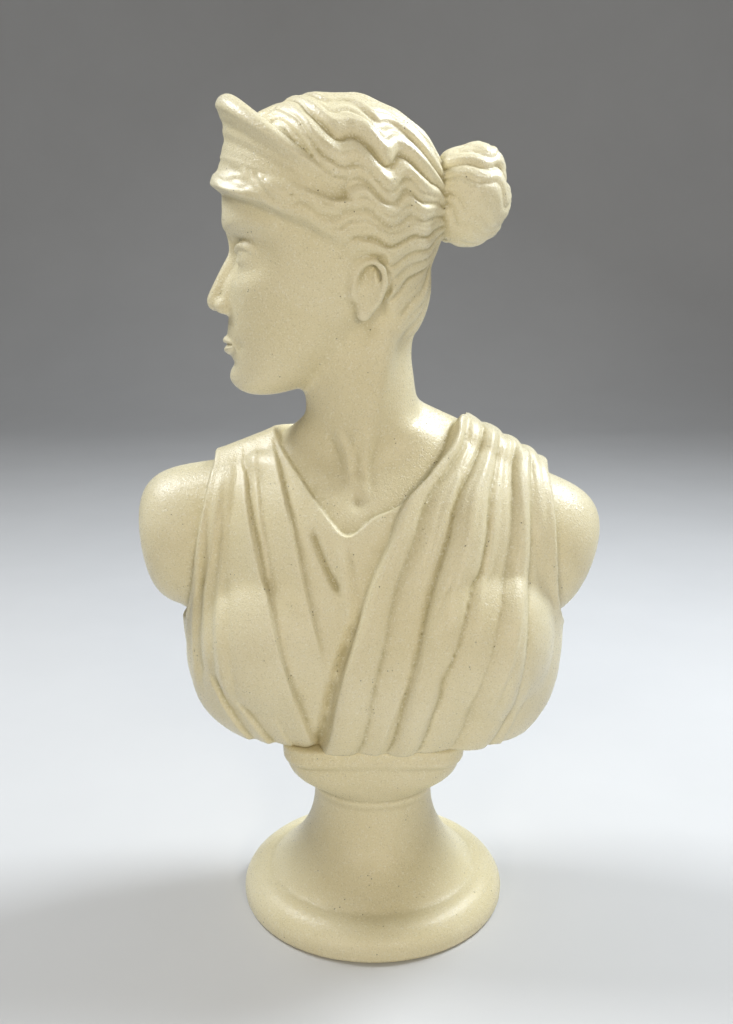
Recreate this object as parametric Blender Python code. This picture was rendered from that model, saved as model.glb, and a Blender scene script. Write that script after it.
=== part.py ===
"""Classical bust of a draped woman with a crescent diadem and a chignon, on a turned socle.

Metres, +Z up. The origin is the centre of the socle's underside. The chest faces -Y and the
head is turned to the figure's right, towards -X.

The figure is carved as a sculptor would block it out: ellipsoids, limbs and rings are joined
by a voxel remesh and smoothed, then face, hair and drapery are worked into the surface by
functions of place, and the diadem is set on. Its proportions are written in parts, of which
its height has about 225, and the carved figure is scaled to FIGURE_HEIGHT.
"""

import math

import bmesh
import bpy
import numpy as np
from mathutils import Euler, Matrix, Vector

# Socle sizes
SOCLE_HEIGHT = 0.0750
FOOT_RADIUS = 0.0510
FOOT_HEIGHT = 0.0126
FOOT_STEP = 0.0105
NECK_RADIUS = 0.0228
NECK_HEIGHT = 0.0490
BEAD_RADIUS = 0.0012
BOWL_RADIUS = 0.0330
BOWL_HEIGHT = 0.0180
BOWL_SQUARENESS = 2.2
BLOCK_WIDTH = 0.0664
BLOCK_DEPTH = 0.0690
BLOCK_CORNER = 0.0110
BLOCK_EDGE = 0.0016
SOCLE_SIDES = 28

# Figure sizes
FIGURE_HEIGHT = 0.2252
SEAT_GAP = 0.0003
HEAD_TURN = math.radians(86.0)
HEAD_PLACE = (-15.0, -1.0, 172.5)
BLOCKING_VOXEL = 1.5
CARVING_VOXEL = 1.0
FINISHING_VOXEL = 0.9
BODY_TRIANGLES = 3820
HAIR_TRIANGLES = 3120
FACE_TRIANGLES = 1350
EVEN_FACTOR = 0.000001

IVORY = (0.80, 0.72, 0.54)


def smooth_step(value):
    """0 below 0 and 1 above 1, with a soft rise between."""
    t = np.clip(value, 0.0, 1.0)
    return t * t * (3.0 - 2.0 * t)


def soft_line(at, stops, values):
    """A smooth curve through (stops, values), flat past both ends."""
    stops = np.asarray(stops, float)
    values = np.asarray(values, float)
    rise = np.gradient(values, stops)
    at = np.clip(at, stops[0], stops[-1])
    k = np.clip(np.searchsorted(stops, at, side="right") - 1, 0, len(stops) - 2)
    span = stops[k + 1] - stops[k]
    t = (at - stops[k]) / span
    return (
        (2 * t**3 - 3 * t**2 + 1) * values[k]
        + (t**3 - 2 * t**2 + t) * span * rise[k]
        + (3 * t**2 - 2 * t**3) * values[k + 1]
        + (t**3 - t**2) * span * rise[k + 1]
    )


def clear_scene():
    for obj in list(bpy.data.objects):
        bpy.data.objects.remove(obj)


def painted(name, colour, roughness):
    material = bpy.data.materials.new(name)
    material.use_nodes = True
    shader = material.node_tree.nodes["Principled BSDF"]
    shader.inputs["Base Color"].default_value = (*colour, 1.0)
    shader.inputs["Roughness"].default_value = roughness
    shader.inputs["Metallic"].default_value = 0.0
    return material


# Blocking out: closed lumps of clay in one bmesh, each in parts
def lump(clay, centre, radii, turn=(0, 0, 0), power=2.0, sides=32):
    """A ball squashed to three radii; a power over 2 flattens its ends along X."""
    made = bmesh.ops.create_uvsphere(clay, u_segments=sides, v_segments=sides // 2, radius=1.0)
    rotation = Euler([math.radians(a) for a in turn]).to_matrix()
    for vert in made["verts"]:
        x, y, z = vert.co
        size = (abs(x) ** power + math.hypot(y, z) ** power) ** (1.0 / power)
        shaped = Vector([c / size * r for c, r in zip(vert.co, radii)])
        vert.co = rotation @ shaped + Vector(centre)


def limb(clay, path, sides=24):
    """A closed tube through (x, y, z, radius) points, with round ends."""
    points = [Vector(p[:3]) for p in path]
    radii = [p[3] for p in path]
    rings = []
    for i, point in enumerate(points):
        ahead = (points[min(i + 1, len(points) - 1)] - points[max(i - 1, 0)]).normalized()
        side = ahead.orthogonal().normalized()
        if rings:
            side = (last_side - ahead * last_side.dot(ahead)).normalized()
        last_side = side
        up = ahead.cross(side)
        steps = [(0.0, radii[i])]
        if i == 0:
            steps = [(-math.cos(a) * radii[0], math.sin(a) * radii[0]) for a in (0.3, 0.8, 1.2, 1.57)]
        if i == len(points) - 1:
            steps = [(math.cos(a) * radii[i], math.sin(a) * radii[i]) for a in (1.57, 1.2, 0.8, 0.3)]
        for along, radius in steps:
            rings.append(
                [
                    clay.verts.new(
                        point
                        + ahead * along
                        + (side * math.cos(t) + up * math.sin(t)) * radius
                    )
                    for t in (2 * math.pi * k / sides for k in range(sides))
                ]
            )
    close_rings(clay, rings)


def close_rings(clay, rings):
    """Walls between rings of equal count, and a cap on the first and the last."""
    faces = [clay.faces.new(list(reversed(rings[0]))), clay.faces.new(rings[-1])]
    for low, high in zip(rings, rings[1:]):
        for k in range(len(low)):
            n = (k + 1) % len(low)
            faces.append(clay.faces.new((low[k], low[n], high[n], high[k])))
    bmesh.ops.recalc_face_normals(clay, faces=faces)


def trunk(clay, sections, sides=56, power=2.3):
    """A body of horizontal sections: (height, middle x, half width, front y, back y)."""
    rings = []
    for height, middle, half, front, back in sections:
        ring = []
        for k in range(sides):
            t = 2 * math.pi * k / sides
            x = math.copysign(abs(math.cos(t)) ** (2 / power), math.cos(t)) * half
            depth = back if math.sin(t) > 0 else -front
            y = math.copysign(abs(math.sin(t)) ** (2 / power), math.sin(t)) * depth
            ring.append(clay.verts.new((middle + x, y, height)))
        rings.append(ring)
    close_rings(clay, rings)


def head_to_figure():
    """From the head's own axes, face towards -Y and zero at eye level, to the figure's."""
    return Matrix.Translation(HEAD_PLACE) @ Matrix.Rotation(-HEAD_TURN, 4, "Z")


TORSO_SECTIONS = (
    (-8, 0, 52, -27, 27),
    (0, 0, 56, -29, 29),
    (4, -0.8, 60.5, -33, 31),
    (10, -0.8, 64.5, -37, 34),
    (20, -0.8, 67, -40, 37),
    (32, -0.8, 68, -41, 39),
    (45, -0.6, 67.5, -40, 40),
    (58, 0, 66, -37, 41),
    (70, 0, 65, -34, 41),
    (80, 0, 62, -31, 39),
    (88, 1, 56, -27, 36),
    (95, 1, 47, -22, 32),
    (101, 0, 38, -18, 28),
    (108, -1, 30, -16, 24),
    (114, -3, 24, -16, 20),
)


def block_torso(clay):
    trunk(clay, TORSO_SECTIONS)
    lump(clay, (-34, -21, 37), (26, 22, 27))
    lump(clay, (34, -21, 39), (26, 22, 27))
    lump(clay, (-55, 4, 71.5), (30.5, 25, 27), turn=(0, -8, 0), power=4.0)
    lump(clay, (52, 4, 69.5), (30, 25, 27), turn=(0, 21, 0), power=3.6)
    limb(clay, [(-6, 6, 109, 16), (-30, 6, 96, 12.5), (-58, 5, 85, 12)])
    limb(clay, [(-4, 6, 112, 16), (28, 5, 101, 13), (54, 5, 86, 13)])


# The neck, the muscle that runs down its side, and the two collarbones
NECK = ((-3, 3, 88, 22), (-3.5, 2, 112, 20.5), (-6, 0, 136, 19.5), (-8, 0, 158, 18))
NECK_MUSCLE = ((4, -14.5, 150, 5.5), (0, -15, 126, 5.4), (-5, -15.5, 104, 5), (-9, -17, 89, 4))
COLLARBONES = (
    ((-13, -18, 88, 3.6), (-27, -14.5, 93.5, 3.6), (-42, -7, 99, 3.2)),
    ((-5, -18, 88, 3.6), (11, -15.5, 94, 3.6), (26, -9, 101, 3.2)),
)


def block_neck(clay):
    for path in (NECK, NECK_MUSCLE, *COLLARBONES):
        limb(clay, path)


# The head by horizontal sections: height, half width, front, widest place and back along Y
HEAD_SECTIONS = (
    (-49.0, 5.0, -29.5, -25.5, -20),
    (-47.4, 9.5, -33.0, -23, -13),
    (-43.5, 14.0, -35.0, -20, -6),
    (-38.0, 17.4, -34.8, -16, 1),
    (-32.0, 20.4, -35.2, -11.5, 8),
    (-25.0, 23.0, -35.8, -8, 14),
    (-17.0, 25.4, -36.0, -4.5, 22),
    (-9.0, 27.2, -35.8, -2, 29),
    (-1.0, 28.5, -34.8, 1, 34),
    (6.0, 29.4, -36.2, 2, 36.5),
    (13.0, 30.2, -37.4, 3, 38),
    (21.0, 31.0, -37.2, 3, 38.5),
    (30.0, 30.6, -34.5, 3, 35),
    (38.0, 27.2, -29.0, 3, 29.2),
    (44.5, 20.5, -21.5, 3, 22.5),
    (48.8, 11.5, -11.5, 3, 13),
    (50.3, 3.0, -2.0, 3, 5.5),
)


def block_head(clay):
    place = head_to_figure()
    before = set(clay.verts)
    rings = []
    for height, half, front, widest, back in HEAD_SECTIONS:
        ring = []
        for k in range(48):
            t = 2 * math.pi * k / 48
            depth = back - widest if math.sin(t) > 0 else widest - front
            x = math.copysign(abs(math.cos(t)) ** 0.92, math.cos(t)) * half
            ring.append(clay.verts.new((x, widest + math.sin(t) * depth, height)))
        rings.append(ring)
    close_rings(clay, rings)
    lump(clay, (0, 14, -10), (21.5, 19, 24))
    bmesh.ops.transform(clay, matrix=place, verts=[v for v in clay.verts if v not in before])


NOSE_RIDGE = ((0, -32.6, 7, 3.4), (0, -33.4, -1, 3.2), (0, -37.2, -10, 3.4), (0, -39.9, -16.2, 3.7))
NOSE_FLANK = ((2.4, -31.8, -4, 2.7), (3.9, -33.6, -11, 3.4), (4.4, -34.8, -17, 3.6))


def block_features(clay):
    """The forms that are set on the smoothed head: nose, ears and bun."""
    before = set(clay.verts)
    limb(clay, NOSE_RIDGE)
    for side in (-1, 1):
        limb(clay, [(side * x, y, z, radius) for x, y, z, radius in NOSE_FLANK])
        lump(clay, (side * 4.7, -36.2, -17.6), (3.1, 4.6, 3.1), turn=(10, 0, side * -14))
        block_ear(clay, side)
    lump(clay, BUN_PLACE, BUN_RADII)
    lump(clay, BUN_KNOB_PLACE, BUN_KNOB_RADII)
    bmesh.ops.transform(clay, matrix=head_to_figure(), verts=[v for v in clay.verts if v not in before])


EAR_RIM = (
    (26.6, 6.4, -11.0),
    (27.2, 7.0, -6.4),
    (27.8, 9.6, -2.8),
    (28.6, 13.4, -2.2),
    (28.8, 16.2, -5.0),
    (28.2, 16.8, -9.5),
    (26.6, 14.8, -15.0),
    (24.8, 11.4, -19.2),
)
EAR_RIM_RADIUS = 1.5


def block_ear(clay, side):
    limb(clay, [(side * x, y, z, EAR_RIM_RADIUS) for x, y, z in EAR_RIM])
    lump(clay, (side * 23.6, 12.0, -11), (3.0, 5.6, 8.8), turn=(-10, 0, side * 8))
    lump(clay, (side * 24.2, 10.0, -19.0), (2.1, 2.9, 3.1))
    lump(clay, (side * 25.8, 6.2, -12.6), (1.6, 1.5, 2.3))


BUN_PLACE = (0.0, 47.0, 19.0)
BUN_RADII = (14.5, 13.2, 14.4)
BUN_KNOB_PLACE = (0, 51, 28)
BUN_KNOB_RADII = (8, 7, 6.5)
BUN_AXIS = (0.0, 0.45, 0.893)

# The diadem; a pair gives the value at the tips and at the front
DIADEM_WIDTH = 35.4
DIADEM_FRONT = 38.4
DIADEM_SPREAD = math.radians(102.0)
DIADEM_LIP = (2.3, 4.0)
DIADEM_TOP = (22.5, 48.0)
DIADEM_FOOT = (17.5, 31.5)
DIADEM_HOLLOW = 2.0
DIADEM_FLUTES = 3
FLUTE_DEPTH = 0.35
TIP_SINK = 3.4
DIADEM_STATIONS = 48


def between(ends, share):
    return ends[0] + (ends[1] - ends[0]) * share


def diadem_section(front):
    """Places inward and up: the underside, the fluted hollow face, the lip and the back."""
    lip = between(DIADEM_LIP, front)
    foot = between(DIADEM_FOOT, front)
    top = between(DIADEM_TOP, front)
    places = [(2.2, foot - 1.6)]
    for k in range(17):
        t = k / 16
        hollow = DIADEM_HOLLOW * math.sin(math.pi * t) ** 0.8
        flute = FLUTE_DEPTH * math.cos(2 * math.pi * DIADEM_FLUTES * t) * math.sin(math.pi * t)
        places.append((0.9 - 0.9 * t + (hollow + flute) * (0.25 + 0.75 * front), foot + (top - foot) * t))
    for k in range(1, 8):
        a = math.pi * k / 8
        places.append((lip - lip * math.cos(a), top + lip * math.sin(a)))
    places.append((lip * 2, top))
    places.append((7.5, foot + 0.35 * (top - foot)))
    places.append((8.5, foot - 1.6))
    return places


def block_diadem(clay):
    """A crescent with a thick lip, whose tips sink into the hair."""
    before = set(clay.verts)
    rings = []
    for k in range(DIADEM_STATIONS + 1):
        around = DIADEM_SPREAD * (2 * k / DIADEM_STATIONS - 1)
        front = max(math.cos(around), 0.0)
        outer = Vector((math.sin(around) * DIADEM_WIDTH, -math.cos(around) * DIADEM_FRONT, 0))
        inward = -outer.normalized()
        sink = TIP_SINK * float(smooth_step((abs(around) - math.radians(70)) / math.radians(30)))
        ring = []
        for depth, z in diadem_section(front):
            ring.append(clay.verts.new(outer + inward * (depth + sink) + Vector((0, 0, z))))
        rings.append(ring)
    close_rings(clay, rings)
    bmesh.ops.transform(clay, matrix=head_to_figure(), verts=[v for v in clay.verts if v not in before])


# Carving: vertex moves worked out from place
def mesh_arrays(mesh):
    points = np.empty(len(mesh.vertices) * 3, np.float32)
    mesh.vertices.foreach_get("co", points)
    normals = np.empty(len(mesh.vertices) * 3, np.float32)
    mesh.vertex_normals.foreach_get("vector", normals)
    edges = np.empty(len(mesh.edges) * 2, np.int32)
    mesh.edges.foreach_get("vertices", edges)
    return (
        points.reshape(-1, 3).astype(float),
        normals.reshape(-1, 3).astype(float),
        edges.reshape(-1, 2),
    )


def set_points(mesh, points):
    mesh.vertices.foreach_set("co", points.astype(np.float32).ravel())
    mesh.update()


def relax(points, edges, strength, rounds):
    """Moves each point part of the way to the middle of its neighbours."""
    count = len(points)
    beside = np.bincount(edges.ravel(), minlength=count)[:, None]
    for _ in range(rounds):
        middle = np.stack(
            [
                np.bincount(edges[:, 0], points[edges[:, 1], axis], count)
                + np.bincount(edges[:, 1], points[edges[:, 0], axis], count)
                for axis in range(3)
            ],
            axis=1,
        )
        points = points + strength[:, None] * (middle / beside - points)
    return points


def turned_about_z(points, angle):
    c, s = math.cos(angle), math.sin(angle)
    x, y, z = points.T
    return np.stack([x * c - y * s, x * s + y * c, z], axis=1)


def to_head(points):
    """Figure places in the head's own axes."""
    return turned_about_z(points - np.array(HEAD_PLACE), HEAD_TURN)


def from_head(points):
    return turned_about_z(points, -HEAD_TURN) + np.array(HEAD_PLACE)


# The hairline: how far round from the face's middle, and its height
HAIRLINE_TURN = np.radians([0, 25, 50, 72, 90, 102, 112, 119, 127, 138, 156, 180])
HAIRLINE_HEIGHT = (20.5, 18.5, 13.5, 8, 3, 0, -1, -3, -16, -26, -32, -34)
HAIRLINE_FADE = (3.0, 6.0)
NAPE_FADE = 8.0
HAIR_FROM = 128.0
TRESSES = 14
FRONT_TRESS = 5.6
FRONT_ROLL = 2.7
WAVE_LENGTH = 19.0
HAIR_THICKNESS = 2.4
SIDE_RELIEF = 3.0
CROWN_RELIEF = 4.4
CROWN_CALM = 0.55
BUN_COILS = 2.6
BUN_RELIEF = 3.0


def hair_turn(head):
    return np.arctan2(np.abs(head[:, 0]), -(head[:, 1] - 2.0))


def above_hairline(head):
    return head[:, 2] - soft_line(hair_turn(head), HAIRLINE_TURN, HAIRLINE_HEIGHT)


def hair_cover(head):
    """1 on hair and 0 on skin, in the head's axes, with a softer edge at the sides and nape."""
    turn = hair_turn(head)
    fade = between(HAIRLINE_FADE, smooth_step((turn - 0.5) / 0.8))
    fade += NAPE_FADE * smooth_step((turn - 2.2) / 0.5)
    return smooth_step(above_hairline(head) / fade + 0.3)


def ridges(across, seed):
    """Round-topped ridges, one to a unit, each of its own height."""
    number = np.floor(across)
    own = np.modf(np.abs(np.sin(number * 12.9898 + seed) * 43758.5453))[0]
    share = across - number
    return np.sqrt(np.clip(np.sin(math.pi * share), 0, None)) * (0.62 + 0.38 * own)


def tresses(across, seed):
    """Thick tresses, each parted in two or three locks."""
    locks = ridges(across * 2 + 0.35 * np.sin(across * 2.1 + seed), seed + 3)
    return 0.8 * ridges(across, seed) + 0.2 * locks


def lock_waves(head):
    """Wavy locks that leave a middle parting, sweep over the ears and gather in the bun."""
    x, y, z = head.T
    share = np.clip((44.0 - y) / 81.0, 0.0, 1.0)
    dip = 13.5 * np.sin(math.pi * share) ** 0.8
    rise = z - (14.0 + 6.0 * share) + dip
    around = np.arctan2(np.abs(x), rise) / (math.pi / 2)
    from_parting = share**2.2
    level = around * (1 - from_parting) + from_parting
    turn = hair_turn(head)
    low = smooth_step((27.0 - z) / 8.0)
    by_hairline = TRESSES / 2 - above_hairline(head) / FRONT_TRESS
    beside = low * smooth_step((math.radians(95) - turn) / math.radians(40))
    across = level * TRESSES / 2 * (1 - beside) + by_hairline * beside
    along = (44.0 - y) * (1 - low) + (100.5 - 36.0 * turn) * low
    phase = 2 * math.pi * along / WAVE_LENGTH
    wave = phase + 2.5 * level + 0.8 * np.sin(0.37 * phase + 5 * level)
    sway = 0.21 * np.sin(wave) + 0.10 * np.sin(0.47 * phase + 9 * level)
    return across + sway * np.clip(share * 4, 0, 1), wave, beside


def bun_coils(head):
    """Strands wound about the bun's own leaning axis, and how far a place belongs to the bun."""
    from_middle = head - np.array(BUN_PLACE)
    axis = np.array(BUN_AXIS)
    reach = np.linalg.norm(from_middle, axis=1)
    rise = np.arccos(np.clip(from_middle @ axis / np.maximum(reach, 1e-6), -1, 1)) / math.pi
    back = np.cross((1.0, 0.0, 0.0), axis)
    turn = np.arctan2(from_middle[:, 0], from_middle @ back)
    across = rise * BUN_COILS + turn / (2 * math.pi) + 0.14 * np.sin(3 * turn + 7 * rise)
    inside = smooth_step((23.0 - reach) / 3.0) * smooth_step((head[:, 1] - 36.5) / 3.0)
    return across, inside


def under_diadem(head):
    """1 where the diadem will sit, so that no hair comes through it."""
    x, y, z = head.T
    around = np.arctan2(np.abs(x) / DIADEM_WIDTH, -y / DIADEM_FRONT)
    front = np.clip(np.cos(around), 0, None)
    above = smooth_step((z - between(DIADEM_FOOT, front) + 1.0) / 1.5)
    above *= smooth_step((between(DIADEM_TOP, front) + between(DIADEM_LIP, front) - z) / 2.0)
    reach = np.hypot(x / DIADEM_WIDTH, y / DIADEM_FRONT)
    return above * smooth_step((reach - 0.78) / 0.06) * smooth_step((DIADEM_SPREAD - around) / 0.15)


def carve_hair(points, normals):
    head = to_head(points)
    cover = hair_cover(head) * smooth_step((points[:, 2] - HAIR_FROM) / 6.0)
    across, wave, beside = lock_waves(head)
    crest = tresses(across, 1.0) * (1 + 0.22 * np.cos(wave + 0.6))
    amount = between((SIDE_RELIEF, CROWN_RELIEF), smooth_step((head[:, 2] - 8.0) / 22.0))
    amount = amount * (1 - CROWN_CALM * smooth_step((head[:, 2] - 36.0) / 10.0))
    coils, on_bun = bun_coils(head)
    crest = crest * (1 - on_bun) + tresses(coils, 4.0) * on_bun
    amount = amount * (1 - on_bun) + BUN_RELIEF * on_bun
    relief = HAIR_THICKNESS + FRONT_ROLL * beside + amount * (crest - 0.6)
    relief = relief * (1 - under_diadem(head))
    return points + normals * (cover * relief)[:, None]


def swell(across, height, at, size):
    """A soft round hill over the face."""
    return np.exp(-(((across - at[0]) / size[0]) ** 2) - ((height - at[1]) / size[1]) ** 2)


# Soft forms of the face: place across and up, size across and up, how far forward
FACE_FORMS = (
    ((3.0, 5.5), (3.0, 3.5), 0.4),
    ((19.5, -11.5), (7.0, 6.5), 1.0),
    ((15.5, -23.0), (7.0, 6.5), 0.5),
    ((0.0, -29.5), (9.0, 6.0), 1.3),
    ((0.0, -43.2), (6.0, 4.4), 1.5),
    ((0.0, -37.6), (6.4, 1.8), -1.0),
    ((11.2, -31.2), (1.8, 2.0), -0.8),
    ((0.0, -25.0), (1.1, 2.4), -0.4),
    ((9.4, -21.8), (1.5, 3.0), -0.5),
)
MOUTH_HEIGHT = -31.0
MOUTH_HALF = 9.8
UPPER_LIP = 3.1
LOWER_LIP = 3.9
LIP_PUSH = 1.75
BROW_HEIGHT = 7.6
BROW_ARCH = 2.4
BROW_PUSH = 1.25
EYE_PLACE = (12.7, -0.6)
EYE_HALF = 5.9
UPPER_BOW = 2.5
LOWER_BOW = 1.6
UPPER_LID = 1.1
LOWER_LID = 0.6


def soft_max(first, second, soft):
    near = np.clip(0.5 + 0.5 * (first - second) / soft, 0, 1)
    return second + (first - second) * near + soft * near * (1 - near)


def mouth_form(across, height):
    line = MOUTH_HEIGHT + 0.5 * (across / MOUTH_HALF) ** 2 - 0.35 * np.exp(-((across / 1.6) ** 2))
    width = np.clip(1 - (across / MOUTH_HALF) ** 2, 0, 1)
    upper = np.clip((height - line) / (UPPER_LIP * width + 0.01), 0, 1)
    lower = np.clip((line - height) / (LOWER_LIP * width + 0.01), 0, 1)
    lips = np.sin(math.pi * upper) ** 0.8 + 1.15 * np.sin(math.pi * lower) ** 0.8
    parting = np.exp(-(((height - line) / 0.7) ** 2)) * smooth_step((MOUTH_HALF + 0.8 - across) / 3.0)
    return LIP_PUSH * width**0.6 * lips - 0.8 * parting


def brow_form(across, height):
    """A ridge over each eye, firmer below than above."""
    over = height - BROW_HEIGHT - BROW_ARCH * np.sin(math.pi * np.clip((across - 4) / 26, 0, 1))
    ridge = np.where(over < 0, np.exp(-((over / 1.7) ** 2)), np.exp(-((over / 5.0) ** 2)))
    return BROW_PUSH * ridge * smooth_step((across - 2.0) / 4.0) * smooth_step((29.0 - across) / 8.0)


def eye_form(across, height):
    """The socket, and in it the eyeball with its lids."""
    u = across - EYE_PLACE[0]
    w = height - EYE_PLACE[1] - 0.05 * u
    socket = -3.8 * swell(u, w, (-7.0, 1.5), (4.6, 5.2))
    socket -= 2.9 * swell(u, w, (0.5, 4.6), (8.5, 3.3))
    socket -= 1.5 * swell(u, w, (0.5, -5.2), (8.0, 3.2))
    socket -= 1.6 * swell(u, w, (8.0, 0.0), (3.5, 5.0))
    share = np.clip(np.abs(u + 0.4) / EYE_HALF, 0, 1)
    above = w - UPPER_BOW * (1 - share**2.2)
    below = -w - LOWER_BOW * (1 - share**2)
    ball = -0.9 - (0.50 * u**2 + 1.15 * w**2) / 14.0
    lids = UPPER_LID * smooth_step(above / 0.6 + 0.5) - 1.0 * np.clip(above - 1.5, 0, None)
    lids += LOWER_LID * smooth_step(below / 0.6 + 0.5) - 0.45 * np.clip(below - 0.8, 0, None)
    lids -= 0.7 * np.clip(np.abs(u - 0.3) - EYE_HALF + 0.4, 0, None)
    return soft_max(ball + lids, socket, 0.6)


def model_face(points):
    """Brings the soft forms, the lips, the brows and the eyes forward from the smooth head."""
    head = to_head(points)
    across = np.abs(head[:, 0])
    height = head[:, 2]
    push = mouth_form(across, height) + brow_form(across, height) + eye_form(across, height)
    for at, size, amount in FACE_FORMS:
        push += amount * swell(across, height, at, size)
    push *= smooth_step((-head[:, 1] - 10.0) / 10.0) * smooth_step((height + 51.0) / 5.0)
    head[:, 1] -= push
    return from_head(head)


# Drapery, by lines x = f(height) on the front and the back
NECKLINE_X = (-38, -34, -26, -17, -10, 0, 11, 18, 23, 28, 32)
NECKLINE_Z = (112, 107, 97, 86, 79, 84.5, 89.5, 95.5, 102, 111, 118)
SLEEVE_Z = (0, 12, 36, 54, 80, 99)
SLEEVE_LEFT = (-70, -72, -69.5, -66, -61, -57.5)
SLEEVE_RIGHT = (70, 72, 69, 66, 63.5, 62)
MANTLE_Z = (0, 5, 27, 46, 63, 76, 89, 96, 102, 112, 120)
MANTLE_EDGE = (-19, -17, -12, -6, -1, 5, 11, 18, 23, 28, 31)
MANTLE_OUTER_Z = (0, 17, 36, 58, 80, 99)
MANTLE_OUTER = (55, 63, 66, 65, 63.5, 61)
# Where the mantle's rolls part, as shares of its width: low, in the middle and high
SPLIT_Z = (18, 62, 105)
MANTLE_SPLITS = (
    (0.0, 0.0, 0.0),
    (0.16, 0.13, 0.12),
    (0.295, 0.31, 0.33),
    (0.43, 0.53, 0.52),
    (0.59, 0.67, 0.69),
    (0.77, 0.79, 0.86),
    (1.0, 1.0, 1.0),
)
MANTLE_ROLLS = (2.6, 2.0, 3.3, 1.8, 2.7, 1.2)
# No cloth reaches above these heights: under the chin, and where the mantle passes the neck
CLOTH_TOP = 121.0
MANTLE_TOP = 130.0
CLOTH_THICKNESS = 1.9
EDGE_CREASE = 1.1
MANTLE_THICKNESS = 2.2
VALLEY_DEPTH = 2.6
VALLEY_WIDTH = 2.1

# Laps, ridges and slits: height and x at the top, in the middle and at the hem, rise, width
TUNIC_LAPS = (
    (109, -48, 46, -33, 3, -20.5, 2.4, 2.2),
    (112, -37, 74, -26, 30, -15.5, 2.0, 1.8),
    (110, -43, 60, -34.5, 8, -25, 1.0, 1.6),
    (30, -57, 18, -52, 1, -43, 1.8, 2.0),
    (22, -48, 13, -42.5, 1, -36, 1.8, 1.8),
    (16, -34, 9, -31.5, 0, -28, 1.0, 1.6),
)
TUNIC_RIDGES = (
    (104, -57.5, 60, -62, 12, -63, 1.5, 1.7),
    (105, -54, 60, -57.5, 14, -57.5, 1.6, 1.9),
    (107, -51, 62, -53, 10, -50, 1.2, 2.0),
    (78, -12, 62, -9, 46, -7.5, 1.5, 1.8),
)
MANTLE_LAPS = (
    (70, 26.5, 48, 20, 22, 13, 0.8, 1.2),
    (92, 42.5, 72, 39.5, 50, 35, 0.7, 1.2),
    (38, 15, 22, 8.5, 2, 1, 0.9, 1.3),
    (62, 50, 42, 45.5, 20, 38, 0.8, 1.4),
    (114, 33, 100, 30, 84, 25, 0.7, 1.1),
    (30, 52, 18, 49, 3, 44, 0.8, 1.4),
)
TUNIC_SLITS = ((82, -21.5, 70, -17, 58, -11.5, -2.6, 1.4),)


def cloth_cover(points):
    """1 where the tunic or the mantle covers the body, 0 on bare skin."""
    x, y, z = points.T
    turn = smooth_step((y + 4.0) / 12.0)
    at_neck = (x > NECKLINE_X[0]) & (x < NECKLINE_X[-1])
    front_line = np.where(at_neck, soft_line(x, NECKLINE_X, NECKLINE_Z), 140.0)
    back_line = np.where((x > -36) & (x < 33), 108.0, 140.0)
    neckline = front_line * (1 - turn) + back_line * turn
    below = smooth_step((neckline - z) / 1.8 + 0.5)
    inside = smooth_step((x - soft_line(z, SLEEVE_Z, SLEEVE_LEFT)) / 1.6 + 0.5)
    inside *= smooth_step((soft_line(z, SLEEVE_Z, SLEEVE_RIGHT) - x) / 1.6 + 0.5)
    inside = np.maximum(inside, smooth_step((38.0 - z) / 3.0))
    return below * inside


def wave_noise(points, size, seed):
    """Soft irregular hills of about the given size, from -1 to 1."""
    x, y, z = (points / size).T
    total = np.zeros(len(points))
    for k in range(4):
        turn = seed * 1.7 + k * 2.4
        slope = x * math.cos(turn) * 2.1 + y * math.sin(turn) * 2.3 + z * math.cos(turn * 1.9) * 2.2
        total += np.sin(slope + turn * 5)
    return total / 4


def lap(d, width):
    """The cloth on the left laps over the cloth on the right."""
    over = np.exp(np.minimum(d, 0) / (3 * width)) * smooth_step(0.5 - d / 1.3)
    under = np.exp(-np.maximum(d, 0) / width) * smooth_step(0.5 + d / 1.3)
    return over - 0.7 * under


def ridge(d, width):
    beside = (np.abs(d) - 1.7 * width) / (0.6 * width)
    return np.exp(-((d / width) ** 2)) - 0.4 * np.exp(-(beside**2))


def slit(d, width):
    return np.exp(-((d / width) ** 2))


def fold_lines(points, lines, form):
    x, y, z = points.T
    height = np.zeros_like(x)
    for top_z, top_x, mid_z, mid_x, low_z, low_x, rise, width in lines:
        line = soft_line(z, (low_z, mid_z, top_z), (low_x, mid_x, top_x)) + 0.5 * np.sin(z / 9.0 + top_x)
        reach = 0.22 * (top_z - low_z)
        ends = smooth_step((z - low_z) / reach + (0.8 if low_z < 5 else 0)) * smooth_step((top_z - z) / reach)
        height += rise * ends * (0.75 + 0.25 * np.sin(z / 13.0 + top_x)) * form(x - line, width)
    return height


def mantle_rolls(points):
    """Height of the mantle's rolled folds, 1 where it lies, and the valley beside its edge."""
    x, y, z = points.T
    edge = soft_line(z, MANTLE_Z, MANTLE_EDGE)
    outer = soft_line(z, MANTLE_OUTER_Z, MANTLE_OUTER)
    share = (x - edge) / np.maximum(outer - edge, 8.0)
    share = share + 0.03 * wave_noise(points, 30.0, 3) * smooth_step(share * 4)
    cover = smooth_step((x - edge) / 1.6 + 0.5)
    rows = [soft_line(z, SPLIT_Z, row) for row in MANTLE_SPLITS]
    height = fold_lines(points, MANTLE_LAPS, lap)
    for low, high, crest in zip(rows, rows[1:], MANTLE_ROLLS):
        t = np.clip((share - low) / (high - low), 0, 1)
        own = 1 + 0.35 * wave_noise(points, 38.0, crest * 9)
        lean = t ** (1 + 0.35 * math.sin(crest * 40))
        height += crest * own * np.sqrt(np.clip(np.sin(math.pi * lean), 0, None)) * ((t > 0) & (t < 1))
    beside = slit(x - edge + 2.2, VALLEY_WIDTH) * smooth_step((56.0 - z) / 14.0)
    return height * cover, cover, -VALLEY_DEPTH * beside


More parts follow.
